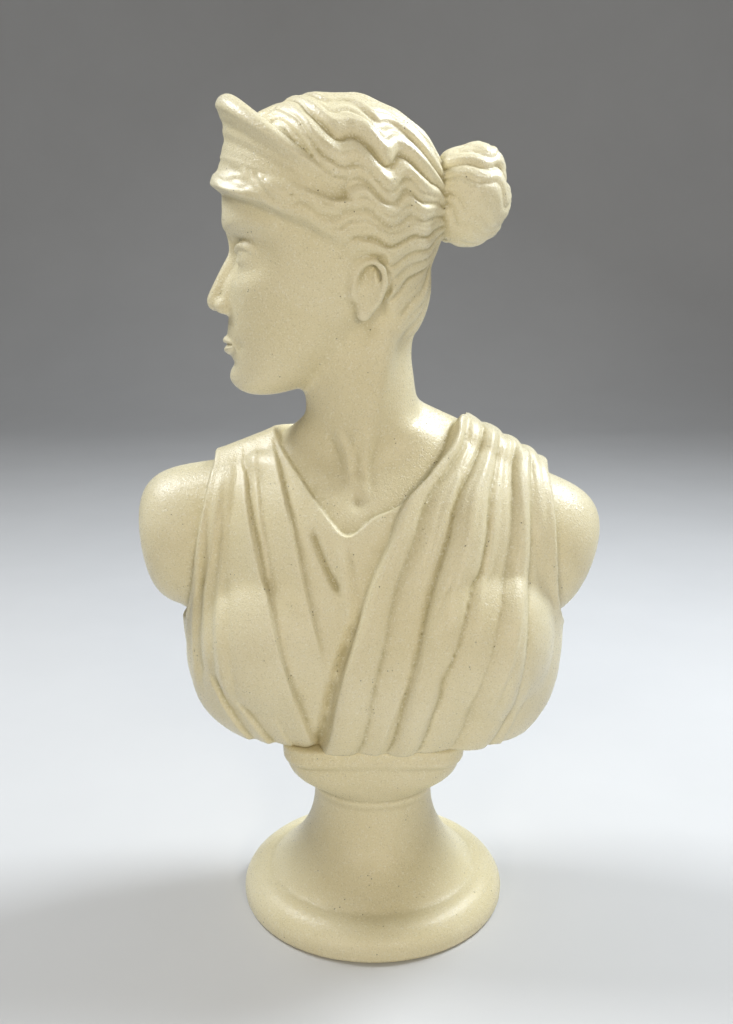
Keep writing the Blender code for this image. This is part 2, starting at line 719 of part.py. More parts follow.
def tunic_folds(points):
    height = fold_lines(points, TUNIC_LAPS, lap) + fold_lines(points, TUNIC_RIDGES, ridge)
    return height + fold_lines(points, TUNIC_SLITS, slit)


def back_folds(points):
    """Slanting folds across the back, from the figure's left shoulder down to the right."""
    x, y, z = points.T
    fan = np.arctan2(z - 150.0, x - 95.0)
    across = fan * 9.0 + 0.3 * np.sin(z / 19.0) + 0.25 * np.sin(x / 13.0 + 1.0)
    return 1.5 * ridges(across, 2.0) - 0.4


def carve_drapery(points, normals):
    x, y, z = points.T
    cover = cloth_cover(points)
    front = smooth_step((4.0 - y) / 10.0)
    rolls, mantle, valley = mantle_rolls(points)
    tunic = (tunic_folds(points) + valley) * (1 - mantle)
    front_lift = CLOTH_THICKNESS + tunic + mantle * MANTLE_THICKNESS + rolls
    back_lift = CLOTH_THICKNESS + 1.2 + back_folds(points)
    lift = cover * (front * front_lift + (1 - front) * back_lift)
    lift -= EDGE_CREASE * front * 4 * cover * (1 - cover)
    top = between((CLOTH_TOP, MANTLE_TOP), smooth_step((x - 18.0) / 6.0))
    lift *= smooth_step((top - z) / 3.0)
    return points + normals * lift[:, None]


def mesh_object(name, mesh):
    obj = bpy.data.objects.new(name, mesh)
    bpy.context.scene.collection.objects.link(obj)
    return obj


def voxel_mesh(name, mesh, voxel):
    """One closed skin over everything in the mesh."""
    obj = mesh_object(name, mesh)
    skin = obj.modifiers.new("skin", "REMESH")
    skin.mode = "VOXEL"
    skin.voxel_size = voxel
    skin.use_smooth_shade = True
    graph = bpy.context.evaluated_depsgraph_get()
    made = bpy.data.meshes.new_from_object(obj.evaluated_get(graph))
    bpy.data.objects.remove(obj)
    return made


def added_to(mesh, build, name):
    """The mesh with more clay put on it, before the next remesh."""
    clay = bmesh.new()
    if mesh:
        clay.from_mesh(mesh)
    build(clay)
    made = bpy.data.meshes.new(name)
    clay.to_mesh(made)
    clay.free()
    return made


NECK_FROM = 118.0
NECK_TO = 132.0
SMOOTHING = 0.6


def block_body(clay):
    block_torso(clay)
    block_neck(clay)
    block_head(clay)


def softened(mesh, rounds_body, rounds_head):
    points, _, edges = mesh_arrays(mesh)
    on_head = smooth_step((points[:, 2] - NECK_FROM) / (NECK_TO - NECK_FROM))
    points = relax(points, edges, SMOOTHING * (1 - on_head), rounds_body)
    points = relax(points, edges, SMOOTHING * on_head, rounds_head)
    set_points(mesh, points)
    return mesh


def carved_figure():
    mesh = voxel_mesh("blocking", added_to(None, block_body, "blocking"), BLOCKING_VOXEL)
    softened(mesh, 14, 5)
    mesh = voxel_mesh("features", added_to(mesh, block_features, "features"), CARVING_VOXEL)
    softened(mesh, 2, 2)
    points, _, _ = mesh_arrays(mesh)
    set_points(mesh, model_face(points))
    for carve in (carve_hair, carve_drapery):
        points, normals, _ = mesh_arrays(mesh)
        set_points(mesh, carve(points, normals))
    return voxel_mesh("finishing", added_to(mesh, block_diadem, "finishing"), FINISHING_VOXEL)


def flat_underside(mesh):
    """Cuts the figure off level at height 0 and closes it."""
    clay = bmesh.new()
    clay.from_mesh(mesh)
    everything = clay.verts[:] + clay.edges[:] + clay.faces[:]
    cut = bmesh.ops.bisect_plane(
        clay, geom=everything, plane_co=(0, 0, 0), plane_no=(0, 0, 1), clear_inner=True
    )
    rim = [e for e in cut["geom_cut"] if isinstance(e, bmesh.types.BMEdge)]
    bmesh.ops.edgeloop_fill(clay, edges=rim)
    bmesh.ops.triangulate(clay, faces=[f for f in clay.faces if len(f.verts) > 4])
    clay.to_mesh(mesh)
    clay.free()


# The front of the face, in the head's frame, and the height where the body ends, in the figure's
FACE_HALF_WIDTH = 23.0
FACE_FROM = -43.0
FACE_TO = 14.0
FACE_BEHIND = -15.0
BODY_TO = 121.0
REGION_OVERLAP = 3.0


def face_region(points, margin):
    """Which points lie on the front of the face, widened by the margin."""
    head = to_head(points)
    level = (head[:, 2] > FACE_FROM - margin) & (head[:, 2] < FACE_TO + margin)
    return level & (np.abs(head[:, 0]) < FACE_HALF_WIDTH + margin) & (head[:, 1] < FACE_BEHIND + margin)


def thin_region(bust, name, free, before, after):
    """Fewer faces around the free points, the rest of the bust kept as it is."""
    group = bust.vertex_groups.new(name=name)
    group.add(np.nonzero(free)[0].tolist(), 1.0, "REPLACE")
    thin = bust.modifiers.new(name, "DECIMATE")
    thin.vertex_group = group.name
    thin.vertex_group_factor = EVEN_FACTOR
    thin.ratio = after / before


def thin_bust(bust, points):
    """Fewer faces on the body first, then on the hair and neck, then on the face."""
    body = points[:, 2] < BODY_TO
    face = face_region(points, 0.0)
    hair = ~face & (points[:, 2] > BODY_TO - REGION_OVERLAP)
    whole = 2.0 * len(bust.data.polygons)
    without_body = whole * (1.0 - body.mean()) + BODY_TRIANGLES
    without_hair = whole * face.mean() + BODY_TRIANGLES + HAIR_TRIANGLES
    last = BODY_TRIANGLES + HAIR_TRIANGLES + FACE_TRIANGLES
    thin_region(bust, "body", body, whole, without_body)
    thin_region(bust, "hair and neck", hair, without_body, without_hair)
    thin_region(bust, "face", face_region(points, REGION_OVERLAP), without_hair, last)


def make_bust(material):
    mesh = carved_figure()
    flat_underside(mesh)
    figure_points, _, _ = mesh_arrays(mesh)
    points = figure_points * (FIGURE_HEIGHT / np.ptp(figure_points[:, 2]))
    points[:, 2] += SOCLE_HEIGHT + SEAT_GAP
    set_points(mesh, points)
    mesh.materials.clear()
    mesh.materials.append(material)
    mesh.shade_smooth()
    bust = mesh_object("bust", mesh)
    thin_bust(bust, figure_points)
    return bust


def socle_profile():
    """Radius and height up the turned part, from the underside to inside the block."""
    foot_mid = FOOT_HEIGHT * 0.28
    points = [(0.0, 0.0), (FOOT_RADIUS - 0.0016, 0.0), (FOOT_RADIUS - 0.0003, foot_mid * 0.45)]
    step_radius = FOOT_RADIUS - FOOT_STEP
    for k in range(5):
        a = math.pi / 2 * k / 4
        height = foot_mid + (FOOT_HEIGHT - foot_mid) * math.sin(a)
        points.append((step_radius + FOOT_STEP * math.cos(a), height))
    cove_low = FOOT_HEIGHT + 0.0006
    cove_top = NECK_HEIGHT - 2 * BEAD_RADIUS
    cove_wide = step_radius - 0.0012
    for k in range(8):
        t = k / 7
        radius = NECK_RADIUS + (cove_wide - NECK_RADIUS) * (1 - t) ** 2.4
        points.append((radius, cove_low + (cove_top - cove_low) * t))
    bead_mid = NECK_HEIGHT - BEAD_RADIUS
    for k in range(1, 4):
        a = math.pi * k / 4 - math.pi / 2
        points.append((NECK_RADIUS + BEAD_RADIUS * math.cos(a), bead_mid + BEAD_RADIUS * math.sin(a)))
    for k in range(1, 7):
        t = k / 6
        radius = NECK_RADIUS + (BOWL_RADIUS - NECK_RADIUS) * math.sin(math.pi / 2 * t)
        points.append((radius, NECK_HEIGHT + BOWL_HEIGHT * t**1.2))
    points.append((BOWL_RADIUS, SOCLE_HEIGHT - BLOCK_EDGE * 2))
    points.append((0.0, SOCLE_HEIGHT - BLOCK_EDGE * 2))
    return points


def turned_mesh(name, profile, sides):
    """The profile spun about Z, closed at both ends of the axis."""
    lathe = bmesh.new()
    verts = [lathe.verts.new((r, 0.0, z)) for r, z in profile]
    edges = [lathe.edges.new(pair) for pair in zip(verts, verts[1:])]
    bmesh.ops.spin(lathe, geom=verts + edges, axis=(0, 0, 1), cent=(0, 0, 0), steps=sides, angle=2 * math.pi)
    bmesh.ops.remove_doubles(lathe, verts=lathe.verts, dist=1e-6)
    bmesh.ops.recalc_face_normals(lathe, faces=lathe.faces)
    mesh = bpy.data.meshes.new(name)
    lathe.to_mesh(mesh)
    lathe.free()
    return mesh


def square_bowl(mesh):
    """Lets the bowl's round plan turn into the block's rounded square towards the top."""
    for vert in mesh.vertices:
        x, y, z = vert.co
        radius = math.hypot(x, y)
        if z > NECK_HEIGHT and radius > 0:
            power = 2.0 + BOWL_SQUARENESS * float(smooth_step((z - NECK_HEIGHT) / BOWL_HEIGHT))
            size = ((abs(x) / radius) ** power + (abs(y) / radius) ** power) ** (1.0 / power)
            vert.co = (x / size, y / size, z)


def block_mesh():
    """The rectangular block at the top, its upright corners well rounded."""
    low = NECK_HEIGHT + BOWL_HEIGHT
    clay = bmesh.new()
    bmesh.ops.create_cube(clay, size=1.0)
    for vert in clay.verts:
        top = vert.co.z > 0
        vert.co = Vector((vert.co.x * BLOCK_WIDTH, vert.co.y * BLOCK_DEPTH, SOCLE_HEIGHT if top else low))
    upright = [e for e in clay.edges if abs(e.verts[0].co.z - e.verts[1].co.z) > 1e-6]
    bmesh.ops.bevel(clay, geom=upright, offset=BLOCK_CORNER, segments=5, affect="EDGES", profile=0.5)
    top_edges = [e for e in clay.edges if all(v.co.z > SOCLE_HEIGHT - 1e-6 for v in e.verts)]
    bmesh.ops.bevel(clay, geom=top_edges, offset=BLOCK_EDGE, segments=2, affect="EDGES", profile=0.5)
    low_edges = [e for e in clay.edges if all(v.co.z < low + 1e-6 for v in e.verts)]
    bmesh.ops.bevel(clay, geom=low_edges, offset=BLOCK_EDGE * 2, segments=2, affect="EDGES", profile=0.5)
    mesh = bpy.data.meshes.new("block")
    clay.to_mesh(mesh)
    clay.free()
    return mesh


def make_socle(material):
    turned = turned_mesh("socle", socle_profile(), SOCLE_SIDES)
    square_bowl(turned)
    socle = mesh_object("socle", turned)
    block = mesh_object("block_for_union", block_mesh())
    block.hide_render = True
    block.display_type = "WIRE"
    join = socle.modifiers.new("block", "BOOLEAN")
    join.operation = "UNION"
    join.object = block
    join.solver = "EXACT"
    socle.data.materials.append(material)
    socle.data.shade_smooth()
    return socle


def main():
    clear_scene()
    ivory = painted("ivory_paint", IVORY, 0.45)
    make_socle(ivory)
    make_bust(ivory)


main()
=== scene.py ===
import math

import bmesh
import bpy
import numpy as np
from mathutils import Matrix, Vector


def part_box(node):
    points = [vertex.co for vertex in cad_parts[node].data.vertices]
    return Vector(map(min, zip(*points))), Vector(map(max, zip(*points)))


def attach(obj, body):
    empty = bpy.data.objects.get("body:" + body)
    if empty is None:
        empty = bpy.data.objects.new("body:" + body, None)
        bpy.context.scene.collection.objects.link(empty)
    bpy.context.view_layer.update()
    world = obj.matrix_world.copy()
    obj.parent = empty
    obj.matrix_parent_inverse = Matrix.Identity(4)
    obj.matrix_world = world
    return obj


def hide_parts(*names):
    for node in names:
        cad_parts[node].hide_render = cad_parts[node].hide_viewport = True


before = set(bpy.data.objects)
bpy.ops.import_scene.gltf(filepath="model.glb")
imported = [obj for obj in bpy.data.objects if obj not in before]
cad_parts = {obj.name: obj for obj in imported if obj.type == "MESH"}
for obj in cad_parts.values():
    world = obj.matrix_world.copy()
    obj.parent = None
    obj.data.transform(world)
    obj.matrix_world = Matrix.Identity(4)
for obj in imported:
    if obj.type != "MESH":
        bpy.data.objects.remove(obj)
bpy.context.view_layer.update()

print("frame loaded")


# Small helpers for objects, edit mode and modifiers

def onlyActive(piece):
    bpy.ops.object.select_all(action="DESELECT")
    piece.select_set(True)
    bpy.context.view_layer.objects.active = piece


def addModifier(piece, kind, **settings):
    onlyActive(piece)
    modifier = piece.modifiers.new(kind.lower(), kind)
    for name, value in settings.items():
        setattr(modifier, name, value)
    bpy.ops.object.modifier_apply(modifier=modifier.name)


def joinPieces(pieces, name):
    onlyActive(pieces[0])
    for piece in pieces:
        piece.select_set(True)
    bpy.ops.object.join()
    joined = bpy.context.active_object
    joined.name = name
    joined.data.name = name
    return joined


def applyPlace(piece):
    onlyActive(piece)
    bpy.ops.object.transform_apply(location=True, rotation=True, scale=True)


def addPiece(name, mesh):
    piece = bpy.data.objects.new(name, mesh)
    bpy.context.scene.collection.objects.link(piece)
    return piece


def meshFromRings(name, rings):
    # closed skin over rings of points
    body = bmesh.new()
    loops = [[body.verts.new(point) for point in ring] for ring in rings]
    body.faces.new(list(reversed(loops[0])))
    body.faces.new(loops[-1])
    for low, high in zip(loops, loops[1:]):
        for k in range(len(low)):
            n = (k + 1) % len(low)
            body.faces.new((low[k], low[n], high[n], high[k]))
    bmesh.ops.recalc_face_normals(body, faces=body.faces)
    mesh = bpy.data.meshes.new(name)
    body.to_mesh(mesh)
    body.free()
    return addPiece(name, mesh)


def getPoints(mesh):
    points = np.empty(len(mesh.vertices) * 3, np.float32)
    mesh.vertices.foreach_get("co", points)
    return points.reshape(-1, 3).astype(float)


def getNormals(mesh):
    normals = np.empty(len(mesh.vertices) * 3, np.float32)
    mesh.vertex_normals.foreach_get("vector", normals)
    return normals.reshape(-1, 3).astype(float)


def getEdges(mesh):
    edges = np.empty(len(mesh.edges) * 2, np.int32)
    mesh.edges.foreach_get("vertices", edges)
    return edges.reshape(-1, 2)


def setPoints(mesh, points):
    mesh.vertices.foreach_set("co", points.astype(np.float32).ravel())
    mesh.update()


def relax(points, edges, strength, rounds):
    count = len(points)
    beside = np.maximum(np.bincount(edges.ravel(), minlength=count), 1)[:, None]
    for _ in range(rounds):
        middle = np.stack(
            [
                np.bincount(edges[:, 0], points[edges[:, 1], axis], count)
                + np.bincount(edges[:, 1], points[edges[:, 0], axis], count)
                for axis in range(3)
            ],
            axis=1,
        )
        points = points + strength[:, None] * (middle / beside - points)
    return points


def spread(values, edges, rounds):
    # blurs one number per point over the surface
    count = len(values)
    beside = np.maximum(np.bincount(edges.ravel(), minlength=count), 1)
    for _ in range(rounds):
        total = np.bincount(edges[:, 0], values[edges[:, 1]], count)
        total += np.bincount(edges[:, 1], values[edges[:, 0]], count)
        values = 0.5 * values + 0.5 * total / beside
    return values


def ease(value):
    t = np.clip(value, 0.0, 1.0)
    return t * t * (3.0 - 2.0 * t)


def softLine(at, stops, values):
    # smooth curve through (stops, values), flat past both ends
    stops = np.asarray(stops, float)
    values = np.asarray(values, float)
    rise = np.gradient(values, stops)
    at = np.clip(at, stops[0], stops[-1])
    k = np.clip(np.searchsorted(stops, at, side="right") - 1, 0, len(stops) - 2)
    span = stops[k + 1] - stops[k]
    t = (at - stops[k]) / span
    return (
        (2 * t**3 - 3 * t**2 + 1) * values[k]
        + (t**3 - 2 * t**2 + t) * span * rise[k]
        + (3 * t**2 - 2 * t**3) * values[k + 1]
        + (t**3 - t**2) * span * rise[k + 1]
    )


def between(ends, share):
    return ends[0] + (ends[1] - ends[0]) * share


def waveNoise(points, size, seed):
    # soft irregular hills of about the given size, from -1 to 1
    x, y, z = (points / size).T
    total = np.zeros(len(points))
    for k in range(4):
        turn = seed * 1.7 + k * 2.4
        across = x * math.cos(turn) * 2.1 + y * math.sin(turn) * 2.3
        total += np.sin(across + z * math.cos(turn * 1.9) * 2.2 + turn * 5)
    return total / 4


# The figure is blocked out in its own parts, of which its height has about 225.
# The chest faces -Y. The head's own axes have the face towards -Y and zero at eye level.
figure = {
    "headTurn": math.radians(86.0),
    "headPlace": (-15.0, -1.0, 172.5),
    "blockVoxel": 1.3,
    "carveVoxel": 0.66,
    "finalVoxel": 0.46,
    "triangles": 192000,
    # heights where the softening of the head begins and is whole, and where its smaller faces begin
    "headFrom": (118.0, 132.0),
    "headFaces": 122.0,
}


def turnAboutZ(points, angle):
    c, s = math.cos(angle), math.sin(angle)
    x, y, z = points.T
    return np.stack([x * c - y * s, x * s + y * c, z], axis=1)


def toHead(points):
    return turnAboutZ(points - np.array(figure["headPlace"]), figure["headTurn"])


def fromHead(points):
    return turnAboutZ(points, -figure["headTurn"]) + np.array(figure["headPlace"])


def lump(centre, radii, turn=(0, 0, 0), power=2.0):
    # a ball of clay, its ends along X flatter as the power goes over 2
    bpy.ops.object.select_all(action="DESELECT")
    bpy.ops.mesh.primitive_uv_sphere_add(segments=40, ring_count=20, radius=1.0)
    piece = bpy.context.active_object
    points = getPoints(piece.data)
    x, y, z = points.T
    size = (np.abs(x) ** power + np.hypot(y, z) ** power) ** (1.0 / power)
    setPoints(piece.data, points / size[:, None] * np.array(radii))
    piece.rotation_euler = [math.radians(a) for a in turn]
    piece.location = centre
    applyPlace(piece)
    return piece


def sideLump(side, centre, radii, turn=(0, 0, 0)):
    # a lump given for the figure's left, whose side is 1, or its mirror image
    x, y, z = centre
    return lump((side * x, y, z), radii, (turn[0], side * turn[1], side * turn[2]))


def limb(path, sides=28):
    # a rounded roll of clay through (x, y, z, radius) points
    domeAngles = (0.25, 0.6, 1.0, 1.57)
    points = [Vector(p[:3]) for p in path]
    radii = [p[3] for p in path]
    rings = []
    side = None
    for i, point in enumerate(points):
        ahead = (points[min(i + 1, len(points) - 1)] - points[max(i - 1, 0)]).normalized()
        side = ahead.orthogonal() if side is None else side - ahead * side.dot(ahead)
        side.normalize()
        up = ahead.cross(side)
        turns = [2 * math.pi * k / sides for k in range(sides)]
        spokes = [side * math.cos(t) + up * math.sin(t) for t in turns]
        steps = [(0.0, radii[i])]
        if i == 0:
            steps = [(-math.cos(a) * radii[0], math.sin(a) * radii[0]) for a in domeAngles]
        if i == len(points) - 1:
            steps = [(math.cos(a) * radii[i], math.sin(a) * radii[i]) for a in reversed(domeAngles)]
        for along, radius in steps:
            rings.append([point + ahead * along + spoke * radius for spoke in spokes])
    return meshFromRings("limb", rings)


def intoHead(pieces):
    # moves pieces made in the head's axes onto the figure
    place = Matrix.Translation(figure["headPlace"]) @ Matrix.Rotation(-figure["headTurn"], 4, "Z")
    for piece in pieces:
        piece.data.transform(place)
    return pieces


def voxelSkin(piece, size):
    addModifier(piece, "REMESH", mode="VOXEL", voxel_size=size, use_smooth_shade=True)


torso = {
    # height, middle x, half width, front y, back y
    "sections": (
        (-8, 0, 52, -27, 27),
        (0, 0, 56, -29, 29),
        (4, -0.8, 60.5, -33, 31),
        (10, -0.8, 64.5, -37, 34),
        (20, -0.8, 67, -40, 37),
        (32, -0.8, 68, -41, 39),
        (45, -0.6, 67.5, -40, 40),
        (58, 0, 66, -37, 41),
        (70, 0, 65, -34, 41),
        (80, 0, 62, -31, 39),
        (88, 1, 56, -27, 36),
        (95, 1, 47, -22, 32),
        (101, 0, 38, -18, 28),
        (108, -1, 30, -16, 24),
        (114, -3, 24, -16, 20),
    ),
    "boxiness": 2.3,
    # lumps: centre, radii, turn and flatness of the ends
    "breasts": (((-34, -21, 37), (26, 22, 27)), ((34, -21, 39), (26, 22, 27))),
    "shoulders": (
        ((-55, 4, 71.5), (30.5, 25, 27), (0, -8, 0), 4.0),
        ((52, 4, 69.5), (30, 25, 27), (0, 21, 0), 3.6),
    ),
    # limbs: places with their radii
    "shoulderRolls": (
        ((-6, 6, 109, 16), (-30, 6, 96, 12.5), (-58, 5, 85, 12)),
        ((-4, 6, 112, 16), (28, 5, 101, 13), (54, 5, 86, 13)),
    ),
    "neck": ((-3, 3, 88, 22), (-3.5, 2, 112, 20.5), (-6, 0, 136, 19.5), (-8, 0, 158, 18)),
    "neckMuscle": ((4, -14.5, 150, 5.5), (0, -15, 126, 5.4), (-5, -15.5, 104, 5), (-9, -17, 89, 4)),
    "collarBones": (
        ((-13, -18, 88, 3.6), (-27, -14.5, 93.5, 3.6), (-42, -7, 99, 3.2)),
        ((-5, -18, 88, 3.6), (11, -15.5, 94, 3.6), (26, -9, 101, 3.2)),
    ),
}


def blockTorso():
    rings = []
    for height, middle, half, front, back in torso["sections"]:
        ring = []
        for k in range(72):
            t = 2 * math.pi * k / 72
            x = math.copysign(abs(math.cos(t)) ** (2 / torso["boxiness"]), math.cos(t)) * half
            depth = back if math.sin(t) > 0 else -front
            y = math.copysign(abs(math.sin(t)) ** (2 / torso["boxiness"]), math.sin(t)) * depth
            ring.append((middle + x, y, height))
        rings.append(ring)
    pieces = [meshFromRings("trunk", rings)]
    pieces += [lump(*form) for form in (*torso["breasts"], *torso["shoulders"])]
    paths = (*torso["shoulderRolls"], torso["neck"], torso["neckMuscle"], *torso["collarBones"])
    return pieces + [limb(path) for path in paths]


skull = {
    # height, half width, front y, widest y, back y
    "sections": (
        (-49.0, 5.0, -29.5, -25.5, -20),
        (-47.4, 9.5, -33.0, -23, -13),
        (-43.5, 14.0, -35.0, -20, -6),
        (-38.0, 17.4, -34.8, -16, 1),
        (-32.0, 20.4, -35.2, -11.5, 8),
        (-25.0, 23.0, -35.8, -8, 14),
        (-17.0, 25.4, -36.0, -4.5, 22),
        (-9.0, 27.2, -35.8, -2, 29),
        (-1.0, 28.5, -34.8, 1, 34),
        (6.0, 29.4, -36.2, 2, 36.5),
        (13.0, 30.2, -37.4, 3, 38),
        (21.0, 31.0, -37.2, 3, 38.5),
        (30.0, 30.6, -34.5, 3, 35),
        (38.0, 27.2, -29.0, 3, 29.2),
        (44.5, 20.5, -21.5, 3, 22.5),
        (48.8, 11.5, -11.5, 3, 13),
        (50.3, 3.0, -2.0, 3, 5.5),
    ),
    "nape": ((0, 14, -10), (21.5, 19, 24)),
}


def blockHead():
    rings = []
    for height, half, front, widest, back in skull["sections"]:
        ring = []
        for k in range(56):
            t = 2 * math.pi * k / 56
            depth = back - widest if math.sin(t) > 0 else widest - front
            x = math.copysign(abs(math.cos(t)) ** 0.92, math.cos(t)) * half
            ring.append((x, widest + math.sin(t) * depth, height))
        rings.append(ring)
    return intoHead([meshFromRings("skull", rings), lump(*skull["nape"])])


ear = {
    "rim": (
        (26.6, 6.4, -11.0),
        (27.2, 7.0, -6.4),
        (27.8, 9.6, -2.8),
        (28.6, 13.4, -2.2),
        (28.8, 16.2, -5.0),
        (28.2, 16.8, -9.5),
        (26.6, 14.8, -15.0),
        (24.8, 11.4, -19.2),
    ),
    "rimRadius": 1.25,
    "innerRim": ((26.9, 13.4, -5.6), (27.1, 13.9, -9.5), (26.0, 12.2, -14.0), (25.2, 9.4, -15.8)),
    "innerRadius": 0.95,
    # the bowl behind the rims, the lobe and the small flap in front: centre, radii, turn
    "forms": (
        ((23.6, 12.0, -11), (3.0, 5.6, 8.8), (-10, 0, 8)),
        ((24.2, 10.0, -19.0), (2.1, 2.9, 3.1)),
        ((25.8, 6.2, -12.6), (1.6, 1.5, 2.3)),
    ),
}


def blockEar(side):
    rim = [(side * x, y, z, ear["rimRadius"]) for x, y, z in ear["rim"]]
    innerRim = [(side * x, y, z, ear["innerRadius"]) for x, y, z in ear["innerRim"]]
    pieces = [limb(rim, sides=16), limb(innerRim, sides=12)]
    return pieces + [sideLump(side, *form) for form in ear["forms"]]


nose = {
    "bridge": ((0, -32.6, 7, 3.4), (0, -33.4, -1, 3.2), (0, -37.2, -10, 3.4), (0, -39.9, -16.2, 3.7)),
    "flank": ((2.4, -31.8, -4, 2.7), (3.9, -33.6, -11, 3.4), (4.4, -34.8, -17, 3.6)),
    "wing": ((4.7, -36.2, -17.6), (3.1, 4.6, 3.1), (10, 0, -14)),
}


def blockFace():
    pieces = [limb(nose["bridge"])]
    for side in (-1, 1):
        pieces.append(limb([(side * x, y, z, radius) for x, y, z, radius in nose["flank"]]))
        pieces.append(sideLump(side, *nose["wing"]))
        pieces += blockEar(side)
    return pieces


diadem = {
    "halfWidth": 35.4,
    "frontReach": 38.4,
    "spread": math.radians(102.0),
    # at the tips and at the front
    "lip": (2.3, 4.0),
    "top": (22.5, 48.0),
    "foot": (17.5, 31.5),
    "hollow": 2.0,
    "flutes": 3,
    "fluteDepth": 0.26,
    "sink": 3.4,
    "stations": 72,
}


def diademSection(front):
    # places inward and up, from the foot over the face and the lip to the back
    lip = between(diadem["lip"], front)
    foot = between(diadem["foot"], front)
    top = between(diadem["top"], front)
    places = [(2.2, foot - 1.6)]
    for k in range(25):
        t = k / 24
        hollow = diadem["hollow"] * math.sin(math.pi * t) ** 0.8
        flute = diadem["fluteDepth"] * math.cos(2 * math.pi * diadem["flutes"] * t) * math.sin(math.pi * t)
        places.append((0.9 - 0.9 * t + (hollow + flute) * (0.25 + 0.75 * front), foot + (top - foot) * t))
    for k in range(1, 12):
        a = math.pi * k / 12
        places.append((lip - lip * math.cos(a), top + lip * math.sin(a)))
    places.append((lip * 2, top))
    places.append((7.5, foot + 0.35 * (top - foot)))
    places.append((8.5, foot - 1.6))
    return places


def blockDiadem():
    # a crescent with a thick lip and a fluted, slightly hollow face, whose tips sink into the hair
    rings = []
    for k in range(diadem["stations"] + 1):
        around = diadem["spread"] * (2 * k / diadem["stations"] - 1)
        front = max(math.cos(around), 0.0)
        across = math.sin(around) * diadem["halfWidth"]
        outer = Vector((across, -math.cos(around) * diadem["frontReach"], 0))
        inward = -outer.normalized()
        sink = diadem["sink"] * float(ease((abs(around) - math.radians(70)) / math.radians(30)))
        section = diademSection(front)
        rings.append([outer + inward * (depth + sink) + Vector((0, 0, z)) for depth, z in section])
    return [meshFromRings("crescent", rings)]


bun = {
    "place": (0.0, 47.0, 19.0),
    "radii": (14.5, 13.2, 14.4),
    "axis": (0.0, 0.45, 0.893),
    "knob": ((0, 51, 28), (8, 7, 6.5)),
    "coils": 2.6,
    "relief": 2.7,
}

hair = {
    "lineTurn": np.radians([0, 25, 50, 72, 90, 102, 112, 119, 127, 138, 156, 180]),
    "lineHeight": (20.5, 18.5, 13.5, 8, 3, 0, -1, -3, -16, -26, -32, -34),
    # at the front and at the sides
    "hairlineFade": (3.0, 6.0),
    "napeFade": 8.0,
    "frontRoll": 2.7,
    "tresses": 14,
    "frontTress": 5.6,
    "waveLength": 19.0,
    "thickness": 2.4,
    "crownRelief": 4.3,
    "sideRelief": 2.6,
    "strandRelief": 0.42,
    "crownCalm": 0.55,
    # where the sweep begins at the back, its length over the head, and how far it dips on the way
    "sweepBack": 44.0,
    "sweepLength": 81.0,
    "sweepDip": 13.5,
    "sway": (0.21, 0.10, 0.03),
    # no hair on the figure below this height, and whole at the second
    "lowest": (128.0, 134.0),
}


def hairTurn(head):
    return np.arctan2(np.abs(head[:, 0]), -(head[:, 1] - 2.0))


def aboveHairline(head):
    return head[:, 2] - softLine(hairTurn(head), hair["lineTurn"], hair["lineHeight"])


def hairCover(head):
    turn = hairTurn(head)
    fade = between(hair["hairlineFade"], ease((turn - 0.5) / 0.8))
    fade = fade + hair["napeFade"] * ease((turn - 2.2) / 0.5)
    return ease(aboveHairline(head) / fade + 0.3)


def ridges(across, seed, strands=3.0):
    # round-topped ridges, one to a unit, each with its own height and finer strands
    number = np.floor(across)
    own = np.modf(np.abs(np.sin(number * 12.9898 + seed) * 43758.5453))[0]
    share = across - number
    crest = np.sqrt(np.clip(np.sin(math.pi * share), 0, None)) * (0.62 + 0.38 * own)
    fine = (strands + np.round(own)) * share
    strand = np.sqrt(np.abs(np.sin(math.pi * fine)) + 0.01) - 0.6
    return crest, strand


def lockRelief(across, seed):
    # thick tresses, each parted in two or three locks that carry strands
    tress, _ = ridges(across, seed)
    lock, strand = ridges(across * 2 + 0.35 * np.sin(across * 2.1 + seed), seed + 3, 2.0)
    return 0.62 * tress + 0.38 * lock, strand


def lockField(head):
    # wavy locks leave a middle parting, sweep over the ears and gather in the bun
    x, y, z = head.T
    share = np.clip((hair["sweepBack"] - y) / hair["sweepLength"], 0.0, 1.0)
    dip = hair["sweepDip"] * np.sin(math.pi * share) ** 0.8
    rise = z - (14.0 + 6.0 * share) + dip
    around = np.arctan2(np.abs(x), rise) / (math.pi / 2)
    fromParting = share**2.2
    level = around * (1 - fromParting) + fromParting
    swept = level * hair["tresses"] / 2
    # beside the forehead the locks lie along the hairline
    turn = hairTurn(head)
    low = ease((27.0 - z) / 8.0)
    byHairline = hair["tresses"] / 2 - aboveHairline(head) / hair["frontTress"]
    beside = low * ease((math.radians(95) - turn) / math.radians(40))
    across = swept * (1 - beside) + byHairline * beside
    along = (hair["sweepBack"] - y) * (1 - low) + (100.5 - 36.0 * turn) * low
    phase = 2 * math.pi * along / hair["waveLength"]
    wave = phase + 2.5 * level + 0.8 * np.sin(0.37 * phase + 5 * level)
    broad, slow, quick = hair["sway"]
    sway = broad * np.sin(wave) + slow * np.sin(0.47 * phase + 9 * level)
    sway += quick * np.sin(2.3 * phase + 17 * level)
    return across + sway * np.clip(share * 4, 0, 1), wave, beside


